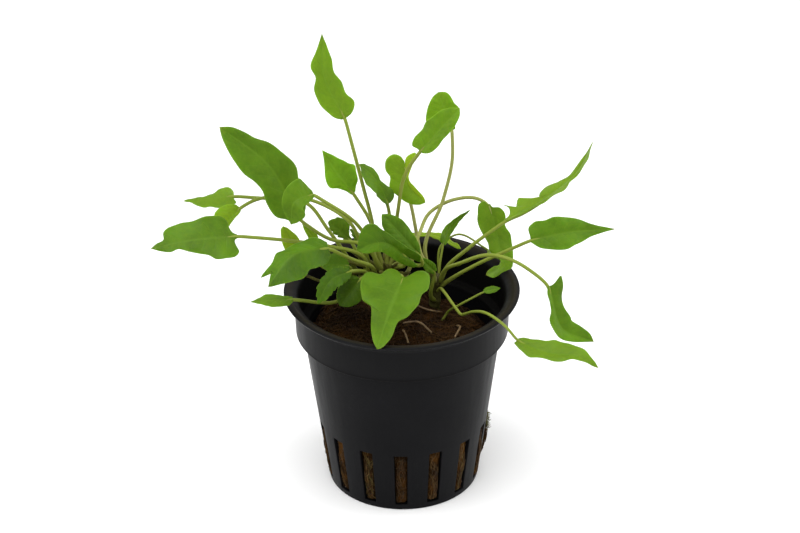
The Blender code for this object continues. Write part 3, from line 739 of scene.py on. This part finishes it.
# For each leaf: the rootstock, with the turn and the share of its height where the stalk leaves it; the
# stalk's route to the blade, points along the rib, the tip, and the way the upper side faces. Then its
# outline from the stalk to the tip, left and right or both alike, as pairs: the share of the rib in
# hundredths and the half-width in tenths of a millimetre. Tone is yellow, light and brown at the tip; yellows
# and halves are the yellow and the light of the two sides. Each light scales the colour: partly the leaf's
# own tone, partly painted light and shade for how the leaf and its two sides are lit. Teeth are how many
# and how deep. Slim, pale and stalkBrown are for the stalk.
leaves = {
    "leaf_tall": {"from": ("left", 180, 1), "stalk": [(-6.7, 4, 65.9), (-8.7, 5, 74.9), (-12.5, 6, 91.8)],
        "rib": [(-17, 8, 101.2)], "tip": (-17.3, 9, 111.6), "face": (-0.2, -1, 0.4), "left": [0, 9, 4, 18,
        13, 27, 28, 35, 41, 33, 52, 20, 64, 27, 78, 15, 90, 7], "right": [0, 8, 2, 20, 12, 40, 24, 32, 41, 36,
        53, 28, 74, 22, 87, 11], "tone": (0.33, 1.27, 0.2)},
    "leaf_upper_left": {"from": ("left", 176, 0.9), "stalk": [(-9.4, 2.6, 60.8), (-15.8, 1, 62.9),
        (-23.4, -2, 69.9)], "rib": [(-30, 1, 82.3)], "tip": (-41, 3, 91.4), "face": (0.3, -1, 0.6),
        "left": [0, 16, 5, 26, 11, 46, 25, 53, 38, 49, 46, 51, 60, 56, 73, 49, 82, 38, 92, 21],
        "right": [0, 14, 8, 29, 20, 40, 30, 43, 36, 51, 51, 44, 63, 38, 72, 28, 82, 24, 92, 17],
        "tone": (0.12, 0.93, 0.3)},
    "leaf_upper_left_front": {"from": ("left", 220, 1), "stalk": [(-9.3, 0, 66.3), (-19.8, -6, 78.6)],
        "rib": [(-24.1, -9, 77.9)], "tip": (-24.9, -10, 72.9), "face": (0, -1, 0.7), "left": [0, 6, 15, 15,
        33, 19, 60, 30, 75, 33, 87, 24], "right": [0, 8, 8, 26, 19, 44, 35, 42, 55, 28, 80, 12],
        "tone": (0.15, 1, 0.2)},
    "leaf_left_back": {"from": ("left", 150, 0.82), "stalk": [(-13, 5, 66.6), (-20.9, 8, 69.8),
        (-32.5, 11, 68.9), (-39.2, 12, 69)], "tip": (-51.2, 12, 67.9), "face": (0, -0.2, 1), "left": [0, 9,
        -5, 23, 10, 33, 26, 35, 45, 31, 66, 24, 80, 12], "right": [0, 7, 2, 24, 7, 36, 17, 41, 28, 35, 48, 18,
        69, 9, 86, 7], "fold": -8, "tone": (0.35, 1.15, 0.3)},
    "leaf_left_pale": {"from": ("left", 160, 0.62), "stalk": [(-16.8, 4, 63.7), (-21.6, 6, 69.8),
        (-33.9, 7, 70.5), (-37.5, 7, 68.5)], "tip": (-42.6, 5, 62.7), "face": (-0.5, -1, 0.4), "left": [0, 4,
        11, 8, 28, 7, 45, 7, 70, 8], "right": [0, 12, 12, 25, 32, 37, 63, 38, 85, 22],
        "tone": (0.5, 1.35, 0.2)},
    "leaf_left": {"from": ("left", 196, 0.76), "stalk": [(-9.2, 0.6, 59), (-16.7, -0.7, 62.2),
        (-27, -3, 65.2), (-37.5, -6, 68)], "rib": [(-46.9, -9, 68.7)], "tip": (-56.8, -12, 68.2),
        "face": (0, -0.8, 1), "left": [0, 5, 3, 8, 3, 25, 1, 40, 6, 50, 20, 56, 30, 54, 36, 44, 46, 35,
        59, 27, 70, 15, 79, 20, 88, 12], "right": [0, 5, 4, 8, 7, 20, 8, 39, 12, 49, 19, 54, 30, 54, 46, 48,
        63, 47, 76, 40, 82, 30, 83, 16, 92, 9], "fold": 4, "tone": (0.12, 0.97, 0.3)},
    "leaf_left_front": {"from": ("left", 218, 0.93), "stalk": [(-7, -0.4, 56.6), (-10.6, -1.8, 58.9),
        (-16.8, -7, 65.2)], "rib": [(-24.8, -13, 66.5)], "tip": (-30.1, -19, 61.9), "face": (-0.1, -0.7, 1),
        "left": [0, 20, 8, 36, 21, 43, 40, 50, 57, 57, 72, 51, 85, 29], "right": [-5, 18, 0, 36, 10, 41,
        28, 34, 45, 30, 52, 29, 60, 35, 70, 29, 80, 30.5, 93, 33, 86, 23, 80, 19, 90, 10], "fold": -18,
        "halves": (0.76, 1.1), "tone": (0, 0.93, 0.2)},
    "leaf_left_small": {"from": ("left", 184, 0.45), "stalk": [(-10.5, 1.5, 49.5), (-23.9, 1, 59.8)],
        "tip": (-27.4, 2, 66.2), "face": (0.3, -1, 0.5), "left": [0, 8, 8, 24, 30, 26, 60, 22, 85, 14, 95, 9],
        "right": [0, 6, 20, 15, 45, 17, 70, 12, 90, 6], "tone": (1, 1.5, 0)},
    "leaf_left_bud": {"from": ("left", 158, 0.45), "stalk": [(-11, 4, 48.5), (-19.3, 2.5, 61.3)],
        "tip": (-23.1, 3, 66.7), "face": (0.3, -1, 0.5), "both": [0, 4, 30, 11, 60, 9, 85, 4],
        "tone": (0.5, 1.55, 0)},
    "leaf_left_low": {"from": ("left", 205, 0.45), "stalk": [(-9.8, -1, 49.2), (-16.7, -6.5, 50.4),
        (-25.2, -8.5, 52.6)], "tip": (-35, -9, 52.3), "face": (0, -0.3, 1), "left": [0, 10, 9, 20, 33, 25,
        60, 19, 77, 11], "right": [0, 7, 25, 12, 44, 18, 60, 19, 77, 11], "ripple": 0.1,
        "tone": (0.2, 1.2, 0.3)},
    "leaf_left_under": {"from": ("left", 192, 0.62), "stalk": [(-9.6, 1.3, 50.9), (-12.2, 0.4, 56.4)],
        "tip": (-18.8, -1.5, 57.8), "face": (0, -0.5, 1), "both": [0, 8, 12, 24, 40, 32, 65, 28, 87, 16],
        "tone": (0.05, 0.85, 0)},
    "leaf_inner_left": {"from": ("left", 220, 0.62), "stalk": [(-8.5, -2, 56), (-11.9, -6, 58.5)],
        "rib": [(-16.6, -11, 58.5)], "tip": (-19.2, -14, 54.5), "face": (0.1, -1, 0.6), "left": [0, 8, 10, 16,
        35, 23, 60, 22, 86, 14], "right": [0, 7, 16, 17, 42, 20, 60, 19, 75, 17, 88, 10], "teeth": (8, 0.4),
        "tone": (0, 0.75, 0)},
    "leaf_inner_shade": {"from": ("left", 245, 0.62), "stalk": [(-7.6, -3.8, 56.2), (-9.6, -5.4, 56)],
        "tip": (-14.4, -9.4, 51.2), "face": (0.3, -1, 0.6), "left": [0, 10, 10, 23, 35, 32, 65, 29, 88, 17],
        "right": [0, 10, 10, 24, 35, 32, 65, 29, 88, 17], "tone": (0.1, 0.6, 0.1)},
    "leaf_front": {"from": ("left", 270, 0.82), "stalk": [(-1, -3.4, 55.8), (0.5, -7.4, 57.7)],
        "rib": [(-2.3, -16, 54.9)], "tip": (-5.7, -28.5, 50.9), "face": (0, -0.4, 1), "left": [3, 4, -3, 15,
        -10, 27, -11, 41, -6, 57, 7, 68, 15, 69, 21, 60, 34, 60, 46, 53, 55, 44, 61, 30, 70, 26, 79, 25,
        89, 20, 97, 10], "right": [3, 4, -3, 11, -4, 29, -1, 41, 4, 48, 7, 52, 7, 66, 9, 83, 16, 90, 28, 86,
        40, 75, 47, 64, 47, 49, 54, 41, 68, 33, 82, 24, 95, 9], "tone": (0.1, 0.98, 0.2)},
    "leaf_middle": {"from": ("left", 300, 1), "stalk": [(0.6, -1.4, 57.2), (1.2, -3.4, 60.8)],
        "rib": [(-4.3, -6.4, 66.1)], "tip": (-10.2, -8, 65), "face": (-0.1, -1, 0.35), "left": [-30, 4,
        -26, 13, -10, 19, 16, 23, 40, 24, 70, 19, 93, 10], "right": [-30, 4, -22, 18, 0, 21, 18, 20, 45, 20,
        60, 33, 66, 47, 73, 51, 81, 43, 92, 22], "halves": (1.2, 0.95), "tone": (0.05, 0.82, 0)},
    "leaf_middle_right": {"from": ("left", 340, 1), "stalk": [(4.9, 1, 56.2), (4.2, 0.2, 59.2)],
        "rib": [(0.2, -1, 64.9)], "tip": (-4.3, -2, 71.2), "face": (0.3, -1, 0.5), "left": [0, 8, 20, 16,
        40, 22, 70, 25, 86, 19, 97, 8], "right": [0, 6, 11, 14, 34, 22, 53, 26, 73, 24, 91, 12],
        "tone": (0.05, 1, 0)},
    "leaf_heart_small": {"from": ("right", 245, 0.62), "stalk": [(7.9, 5.2, 51.7)], "tip": (4.4, 5, 55.9),
        "face": (0.2, -1, 0.5), "left": [0, 6, 20, 12, 50, 13, 80, 7], "right": [0, 6, 20, 13, 45, 13, 75, 8],
        "tone": (0.1, 1, 0.3)},
    "leaf_back_left": {"from": ("left", 130, 1), "stalk": [(-7.2, 7, 64.6), (-11.1, 9, 71)],
        "rib": [(-15.2, 9.5, 76.8)], "tip": (-18.1, 10, 81.8), "face": (-0.1, -1, 0.4), "left": [0, 6, 10, 10,
        23, 19, 37, 35, 53, 30, 66, 20, 79, 11], "right": [0, 7, 6, 14, 17, 31, 30, 39, 43, 46, 52, 38,
        61, 33, 74, 23, 90, 9], "tone": (0.15, 1.8, 0.2)},
    "leaf_back_slim": {"from": ("left", 85, 1), "stalk": [(-2.3, 5.5, 63), (-3, 5, 70.1)],
        "rib": [(-5.2, 4, 76.3)], "tip": (-9.4, 2, 82.1), "face": (0.7, -0.6, 0.5), "left": [0, 6, 19, 19,
        48, 32, 70, 31, 86, 24], "right": [-2, 14, 3, 26, 22, 24, 35, 14, 48, 9, 66, 15, 80, 13, 92, 8],
        "tone": (0.1, 1, 0.3)},
    "leaf_back_drooping": {"from": ("right", 232, 1), "stalk": [(4.6, 7.6, 55.4), (3.7, 9.1, 59.8),
        (2.7, 10.1, 65.7), (1.4, 11.2, 71.6), (1.1, 10.9, 75.2), (1.05, 9.5, 78.2), (1.1, 8.2, 78.6)],
        "rib": [(1.8, 7.5, 73.9)], "tip": (5.8, 7.2, 69.2), "face": (-0.3, -1, 0.3), "left": [-9, 1, -16, 5,
        -24, 17, -27, 32, -15, 29, 2, 16, 16, 7, 30, 6, 52, 11, 77, 10, 95, 4], "right": [-9, 1, -20, 7,
        -26, 23, -20, 38, -7, 47, 12, 47, 25, 38, 40, 44, 53, 36, 66, 32, 84, 24, 95, 12], "pale": 0.5,
        "halves": (1.12, 1), "yellows": (1, 0.4), "tone": (0.3, 1.42, 0.1)},
    "leaf_back_right": {"from": ("left", 50, 1), "stalk": [(-0.7, 3.7, 68.7), (1.5, 3.9, 79.2),
        (4.6, 4.4, 83.9)], "tip": (13.8, 9, 92.6), "face": (-0.2, -1, 0.5), "left": [0, 9, -2, 23, 9, 31,
        30, 31, 44, 37, 55, 34, 81, 25, 93, 12], "right": [0, 7, 5, 16, 24, 24, 38, 22, 55, 22, 77, 19,
        92, 11], "stalkBrown": 0.35, "tone": (0.18, 1.2, 0.2)},
    "leaf_back_right_high": {"from": ("right", 185, 1), "stalk": [(5.6, 9, 55.5), (10, 13, 66.8),
        (12.2, 15, 76.1), (12.2, 15, 84.1)], "tip": (9, 18, 92.5), "face": (-0.1, -1, 0.4), "left": [0, 5,
        6, 9, 14, 24, 25, 44, 41, 51, 62, 43, 84, 27, 95, 14], "right": [0, 8, 17, 15, 35, 29, 48, 34, 61, 28,
        75, 26, 90, 21, 97, 12], "pale": 0.4, "tone": (0.25, 1.45, 0.2)},
    "leaf_right_hanging": {"from": ("left", 0, 0.82), "stalk": [(4.2, 6.9, 60.9), (7.1, 13.3, 63.6),
        (12.4, 14.8, 65.9), (17.9, 14.9, 66.2), (20.9, 13.9, 65.1)], "rib": [(23, 10.8, 57),
        (23.5, 6.9, 52.7)], "tip": (19.8, 1.9, 52.6), "face": (0.2, -1, 0.3), "left": [0, 3, 4, 6, 5, 14,
        6, 21, 10, 28, 15, 31, 20, 30, 26, 25, 31, 26, 36, 31, 49, 31, 64, 29, 69, 30, 72, 22, 76, 15, 83, 16,
        93, 12], "right": [0, 4, -5, 10, -4, 23, 7, 34, 13, 38, 20, 39, 28, 37, 36, 32, 44, 27, 52, 27,
        57, 20, 62, 8, 66, 2.5, 70, 2, 76, 6, 86, 12, 96, 6], "pale": 0.35, "tone": (0.3, 1.12, 0.4)},
    "leaf_right_wavy": {"from": ("right", 10, 1), "stalk": [(15.8, 8.4, 56.2), (24.8, 9.7, 62.9)],
        "rib": [(30.4, 10.8, 65.4), (35.9, 12.1, 68.9), (41.5, 13.6, 73.4)], "tip": (45.2, 15.1, 80.8),
        "face": (-0.55, -0.05, 0.8), "left": [0, 4, 3, 8, 6, 26, 6.5, 43, 3, 69, 7.5, 46, 12, 32, 14, 42,
        17.5, 57, 23, 39, 29, 15, 33, 10, 34, 22, 37, 32, 43, 40, 47, 35, 52, 20, 55, 21, 60, 15, 70, 17,
        80, 11, 90, 5], "right": [0, 9, 7, 7, 16, 5, 24, 8, 32, 16, 41, 24, 48, 31, 54, 37, 58, 30, 62, 14,
        69, 14, 76, 21, 82, 22, 88, 26, 94, 18], "tone": (0.45, 1.2, 0.2)},
    "leaf_right": {"from": ("right", 340, 0.88), "stalk": [(17.6, 6, 53.1), (26.2, 4, 58.6), (30.3, 3, 61.2)],
        "rib": [(39.2, 1, 64.2)], "tip": (49.5, -2, 66.6), "face": (-0.1, -1, 0.8), "left": [0, 10, 0, 31,
        7, 41, 21, 39, 30, 42, 45, 37, 58, 29, 71, 16, 88, 6], "right": [0, 6, 3, 12, 10, 24, 24, 34, 42, 40,
        55, 32, 76, 12, 90, 5], "tone": (0.1, 1.06, 0.6)},
    "leaf_right_drooping": {"from": ("right", 310, 1), "stalk": [(14, 2, 55.9), (20.8, -2, 60.1),
        (26, -5, 60.1), (31, -7, 57.5), (34, -8, 55.1)], "rib": [(35, -10, 50.4), (36.6, -12, 46.4)],
        "tip": (44.4, -12, 42.3), "face": (0.5, -0.8, 0.5), "left": [0, 10, -9, 34, -2, 36, 15, 30, 29, 25,
        42, 32, 55, 31, 71, 29, 90, 17], "right": [0, 5, 10, 10, 28, 8, 39, 20, 47, 23, 56, 24, 75, 15,
        90, 7], "halves": (0.98, 1.2), "tone": (0.1, 0.94, 0.3)},
    "leaf_right_low": {"from": ("right", 285, 0.8), "stalk": [(10, 2.2, 48), (12.4, -3, 46.9),
        (13.8, -5.9, 46.5), (14.6, -7.6, 47.6), (16.5, -11, 50.2), (19.4, -15.5, 52.3), (24, -20, 50.8),
        (26.1, -21, 48.2)], "rib": [(33.4, -24, 46.6), (39.3, -26, 46.8)], "tip": (44.2, -28, 45),
        "face": (0, -0.4, 1), "left": [0, 7, 6, 14, 15, 21, 27, 26, 47, 36, 60, 32, 73, 25, 93, 8],
        "right": [-2, 11, 10, 23, 21, 32, 30, 28, 39, 21, 49, 24, 60, 18, 74, 9, 90, 4], "slim": 0.8,
        "tone": (0.35, 1.12, 0.3)},
    "leaf_inner_right": {"from": ("right", 315, 0.42), "start": [(8.6, 5.4, 37.6), (9.4, 4.6, 38.6)],
        "stalk": [(10.8, 4, 41.3), (12.8, 1, 44.6), (19.3, 1, 48.6)], "tip": (23.3, 2, 49),
        "face": (-0.2, -0.4, 1), "both": [0, 5, 30, 11, 60, 10, 85, 5], "ripple": 0.06, "slim": 0.65,
        "tone": (0.1, 1, 0.3)},
    "leaf_back_pointed": {"from": ("right", 75, 1), "stalk": [(10, 13, 55)], "rib": [(12, 16, 58.2)],
        "tip": (16.8, 18, 61.7), "face": (0.6, -0.6, 0.4), "left": [0, 13, 10, 19, 26, 17, 51, 10, 78, 5],
        "right": [0, 6, 19, 10, 42, 11, 76, 5], "slim": 0.6, "tone": (0.15, 1.1, 0.2)},
    "leaf_rim_back": {"from": ("left", 85, 0.82), "stalk": [(0.5, 18, 53), (2.2, 22, 52.6)],
        "rib": [(7.5, 21.5, 52.9)], "tip": (14.4, 17, 51.5), "face": (0, -0.2, 1), "both": [0, 4, 20, 9,
        50, 10, 80, 8, 94, 5], "tone": (0.8, 1.35, 0.1)},
    "leaf_rim_right": {"from": ("right", 75, 0.7), "stalk": [(9.8, 16, 53.3), (13.2, 18, 54.8),
        (21, 14, 52.6)], "tip": (25.3, 8, 52.3), "face": (0.2, 0, 1), "left": [0, 5, 20, 15, 50, 16, 80, 8],
        "right": [0, 5, 20, 16, 50, 15, 80, 8], "slim": 0.6, "tone": (0.5, 1.15, 0.1)},
    "leaf_back_small": {"from": ("left", 140, 0.62), "stalk": [(-12, 11, 57.4)], "tip": (-17.2, 13, 61.5),
        "face": (0.1, -1, 0.5), "left": [0, 6, 30, 11, 54, 14, 83, 11], "right": [0, 6, 16, 8, 29, 21, 45, 29,
        59, 32, 80, 24, 93, 13], "teeth": (5, 0.5), "tone": (0.3, 0.85, 0.2)},
    "leaf_back_tiny": {"from": ("left", 110, 0.82), "stalk": [(-8.7, 7, 58.8)], "tip": (-12, 9, 61.5),
        "face": (0.1, -1, 0.5), "both": [0, 4, 30, 11, 60, 9, 85, 4], "teeth": (4, 0.4),
        "tone": (0.3, 0.8, 0.2)},
}


def makeLeafSkin():
    s = leafSet
    skin = Skin("leafSkin", s["deep"])
    along, across, under = skin.splitMap("leafMap")
    yellow, light, brown = skin.splitMap("leafTone")
    cloud, grain = skin.noise(170), skin.noise(1500, 4, 0.65)
    sweep = skin.calc("SUBTRACT", along, skin.times(across, s["veinSweep"]))
    wave = skin.calc("FRACT", skin.times(sweep, s["veins"]))
    vein = skin.times(skin.calc("ABSOLUTE", skin.calc("SUBTRACT", wave, 0.5)), 2)
    veins = skin.times(skin.spread(vein, 0.84, 1), skin.spread(across, 0.95, 0.5))
    skin.coat(skin.vary(cloud), s["fresh"])
    skin.coat(skin.spread(grain, 0.4, 0.75, 0, 0.25), s["yellow"])
    skin.coat(yellow, s["yellow"])
    skin.coat(skin.times(veins, 0.22), s["vein"])
    skin.coat(skin.times(skin.spread(across, 0.09, 0.02), 0.6), s["vein"])
    skin.coat(skin.times(skin.spread(across, 0.93, 1), 0.5), s["margin"])
    skin.coat(skin.times(under, 0.6), s["under"])
    skin.coat(skin.times(skin.spread(along, 0.93, 1), brown), s["brownTip"])
    # Each leaf's colour is scaled by its light: partly its own tone, partly painted light and shade, with one
    # side of the rib painted lighter than the other
    skin.coat(1, skin.node("CombineColor", {0: light, 1: light, 2: light}).outputs[0], "MULTIPLY")
    relief = skin.plus(skin.times(grain, 0.35), skin.times(veins, -0.5))
    return skin.finish(skin.vary(grain, 0.36, 0.52), 0.1, (relief, 0.35, 0.00018), s["bladeSoft"])


def makeStalkSkin():
    s = leafSet
    skin = Skin("stalkSkin", s["stalkOlive"])
    along, around, _ = skin.splitMap("leafMap")
    _, pale, brown = skin.splitMap("leafTone")
    patch = skin.noise(300)
    streak = skin.node("CombineXYZ", {0: skin.times(around, 9), 1: skin.times(along, 6)}).outputs[0]
    line = skin.noise(3, place=streak)
    skin.coat(skin.spread(along, 0.15, 0.8), s["stalkGreen"])
    skin.coat(skin.spread(along, 0.18, 0, 0, 0.45), s["stalkBrown"])
    skin.coat(skin.times(brown, 0.8), s["stalkBrown"])
    skin.coat(skin.spread(line, 0.35, 0.7, 0, 0.4), s["stalkLine"])
    skin.coat(skin.spread(patch, 0.5, 0.75, 0, 0.15), s["stalkBrown"])
    skin.coat(pale, s["stalkPale"])
    return skin.finish(skin.vary(patch, 0.35, 0.5), 0.15, (line, 0.25, 0.00012), s["stalkSoft"])


def stalkStart(leaf):
    crown, turn, height = leaf["from"]
    facts = crownSet["crown_" + crown]
    here = Vector(facts["foot"]).lerp(Vector(facts["top"]), height)
    wide = blend(*facts["radii"], height) * 1.05 + 0.95
    out, atTop = wayTo(math.radians(turn)), height == 1
    rim = here + out * wide * (0.75 if atTop else 1) + upBy(0.9 if atTop else 0)
    return [here + out * 0.35 * wide - upBy(1.6), rim]


def edgeLine(edge, length, rows):
    # Points along one margin, evenly spaced, as (share along the rib, half-width)
    corners = [(u / 100 * length, w / 10, 0) for u, w in zip(edge[::2], edge[1::2])]
    path = flowCurve([*corners, (length, 0, 0)], 0.25)
    walked = walkLengths(path)
    spots = [pointAt(path, walked, walked[-1] * i / rows) for i in range(rows)]
    return [(p.x / length, max(p.y, 0.02)) for p in spots]


def bladeFrames(face, rib):
    # The way to the side and the way up, at each hundredth of the rib
    frames, reach = [], leafSet["ribReach"]
    for k in range(101):
        forward = (rib(min(k / 100 + reach, 1)) - rib(k / 100 - reach)).normalized()
        normal = (face - forward * face.dot(forward)).normalized()
        side = normal.cross(forward)
        frames.append((side, forward.cross(side)))
    return frames


def makeBlade(node, leaf, rib, length, frames):
    # Two skins of points that meet in a thin margin; j runs across, above 0 on the left side
    s = leafSet
    rows, columns, span = s["rows"], s["columns"], 2 * s["columns"]
    teeth, depth = leaf.get("teeth", (0, 0))
    edges = [[(u, w + depth * min(i / 6, 1) * (i * teeth / rows % 1 - 0.4))
              for i, (u, w) in enumerate(edgeLine(leaf.get(side) or leaf["both"], length, rows))]
             for side in ("left", "right")]
    widest = max(w for edge in edges for _, w in edge)
    fold = math.radians(leaf.get("fold", s["fold"]))
    ripple = leaf.get("ripple", s["ripple"] * min(length / 18, 1))
    chance = random.Random(sum(ord(c) * (i + 1) for i, c in enumerate(node)))
    phases = [chance.uniform(0, 6.28) for _ in range(4)]
    yellow, light, brown = leaf["tone"]
    # The halves scale each side's light: painted light and shade, one side of the rib lit and the other
    # shaded
    yellows, halves = leaf.get("yellows", (yellow, yellow)), leaf.get("halves", (1, 1))
    points, faces, maps, tones, tops, bottoms = [], [], [], [], [], []
    for i in range(rows):
        t = i / rows
        tops.append([])
        bottoms.append([])
        for j in range(-columns, columns + 1):
            way, half = (1, 0) if j > 0 else (-1, 1)
            share = 1 - (1 - abs(j) / columns) ** s["columnCrowd"]
            edgeU, edgeW = edges[half][i]
            u, w = (1 - share) * t + share * edgeU, share * edgeW
            side, normal = frames[int(clamp(u) * 100)]
            wide = w / widest
            lift = w * math.sin(fold) * (1 - 0.35 * wide)
            broad, fine = (math.sin(math.tau * n * t + phases[half + 2 * k])
                           for k, n in enumerate(s["waves"]))
            lift += ripple * wide * share * broad
            lift += 0.4 * ripple * share ** 3 * fine
            between = math.sin(math.pi * ((t - s["veinSweep"] * share) * s["veins"] % 1))
            calm = math.sin(math.pi * min(share * 1.15, 1)) * min(edgeW / 2.5, 1)
            lift += s["quilt"] * between * calm
            lift -= 0.1 * (1 - share) ** 6 * (1 - t)
            place = rib(u) + side * (way * w * math.cos(fold)) + normal * lift
            thick = blend(s["marginThickness"], s["thickness"], 1 - share ** 3)
            thick *= 1 - 0.5 * t ** 6
            for skin, sign in ((tops, 1), (bottoms, -1)):
                skin[-1].append(len(points))
                points.append(place + normal * (0.5 * sign) * thick)
                maps.append((t, share, 0 if sign > 0 else 1))
            # Each point's light: the leaf's light times its side's painted light and shade
            gold, sideShade = (0.5 * sum(yellows), 0.5 * sum(halves)) if j == 0 else (yellows[half], halves[half])
            tones += [(gold, light * sideShade, brown)] * 2
    for i in range(rows - 1):
        for j in range(span):
            faces.append((tops[i][j], tops[i + 1][j], tops[i + 1][j + 1], tops[i][j + 1]))
            faces.append((bottoms[i][j], bottoms[i][j + 1], bottoms[i + 1][j + 1], bottoms[i + 1][j]))
        faces.append((tops[i][0], bottoms[i][0], bottoms[i + 1][0], tops[i + 1][0]))
        faces.append((tops[i][span], tops[i + 1][span], bottoms[i + 1][span], bottoms[i][span]))
    end = len(points)
    points.append(Vector(leaf["tip"]))
    maps.append((1, 0, 0))
    tones.append((yellow, light, brown))
    for j in range(span):
        faces.append((tops[-1][j], end, tops[-1][j + 1]))
        faces.append((bottoms[-1][j], bottoms[-1][j + 1], end))
        faces.append((tops[0][j], tops[0][j + 1], bottoms[0][j + 1], bottoms[0][j]))
    faces.append((tops[-1][0], bottoms[-1][0], end))
    faces.append((tops[-1][span], end, bottoms[-1][span]))
    return points, faces, maps, tones


def stalkPath(leaf, rib, frames):
    # The stalk, which runs on under the blade as its midrib
    s, slim = leafSet, leaf.get("slim", 1)
    stalk = flowCurve([*leaf.get("start", stalkStart(leaf)), *leaf["stalk"]], 0.5)
    stalkWalk, top = walkLengths(stalk), s["stalkTop"] * slim
    joint, whole = Vector(leaf["stalk"][-1]), stalkWalk[-1]
    path, radii = [], []
    count = max(8, int(whole / s["stalkStep"]))
    for i in range(count):
        walked = whole * i / count
        path.append(pointAt(stalk, stalkWalk, walked))
        flare = crownSet["crown_" + leaf["from"][0]]["flare"] * slim
        flare *= math.exp(-max(0, walked - 2) / s["flareLength"])
        radii.append(blend(s["stalkFoot"], s["stalkTop"], walked / whole) * slim + flare)
    for k in range(31):
        u = 0.94 * k / 30
        normal = frames[int(u * 100)][1]
        wide = top * max(1 - u, 0) ** 0.8 * 0.8 + 0.08
        sink = min(u / 0.12, 1) * (0.5 * s["thickness"] + 0.45 * wide) * (1 - 0.4 * u)
        path.append(rib(u) - normal * sink)
        radii.append(wide + (top - wide) * max(0, 1 - u / 0.1))
    for _ in range(s["jointPasses"]):
        near = [i for i in range(1, len(path) - 1) if (path[i] - joint).length < s["jointReach"]]
        eased = {i: path[i] * 0.5 + (path[i - 1] + path[i + 1]) * 0.25 for i in near}
        for i, place in eased.items():
            path[i] = place
    return path, radii


def makeLeaf(node, leaf, skins):
    spine = flowCurve([leaf["stalk"][-1], *leaf.get("rib", []), leaf["tip"]], 0.5)
    spineWalk, sides = walkLengths(spine), leafSet["stalkSides"]
    length = spineWalk[-1]

    def rib(u):
        return pointAt(spine, spineWalk, u * length)

    frames = bladeFrames(Vector(leaf["face"]).normalized(), rib)
    points, faces, maps, tones = makeBlade(node, leaf, rib, length, frames)
    bladeFaces = len(faces)
    path, radii = stalkPath(leaf, rib, frames)
    addTube(points, faces, path, radii, sides)
    maps += [(i / len(path), abs(2 * k / sides - 1), 0) for i in range(len(path)) for k in range(sides)]
    tones += [(0, leaf.get("pale", 0), leaf.get("stalkBrown", 0))] * (len(points) - len(tones))
    faceSlots = [0] * bladeFaces + [1] * (len(faces) - bladeFaces)
    maps = {"leafMap": maps, "leafTone": tones}
    makePiece(fineName(node), points, faces, skins, [node], faceSlots, maps)


leafSkins = [makeLeafSkin(), makeStalkSkin()]
for leafNode, leafFacts in leaves.items():
    makeLeaf(leafNode, leafFacts, leafSkins)
print("leaves made,", len(leaves))


# Small green tuft at the right-hand slot

tuftSet = {
    "turn": 4, "reach": 20.2, "height": (10.8, 14.8), "count": 150, "length": (0.5, 1.4), "radius": 0.06,
    "wander": 0.4, "taper": (1, 1, 0.9, 0.7, 0.3),
    "seed": 5, "colour": (0.075, 0.085, 0.018), "dry": (0.15, 0.12, 0.035),
}


def makeTuftSkin():
    skin = Skin("tuftSkin", tuftSet["colour"])
    skin.coat(skin.spread(skin.noise(900), 0.35, 0.65), tuftSet["dry"])
    return skin.finish(skin.vary(skin.noise(1500), 0.6, 0.85))


def makeTuft():
    s = tuftSet
    chance = random.Random(s["seed"])
    points, faces = [], []
    out = wayTo(math.radians(s["turn"]))
    for _ in range(s["count"]):
        start = out * (s["reach"] + chance.uniform(-0.3, 0.3))
        start += Vector((-out.y, out.x, 0)) * chance.uniform(-1.2, 1.2)
        start.z = chance.uniform(*s["height"])
        heading = (out + Vector([chance.gauss(0, 0.7) for _ in range(3)])).normalized()
        path = strayPath(chance, start, heading, chance.uniform(*s["length"]), s["wander"])
        addTube(points, faces, path, [s["radius"] * f for f in s["taper"]], 3)
    makePiece("slotTuft", points, faces, [makeTuftSkin()])


makeTuft()
print("tuft made")
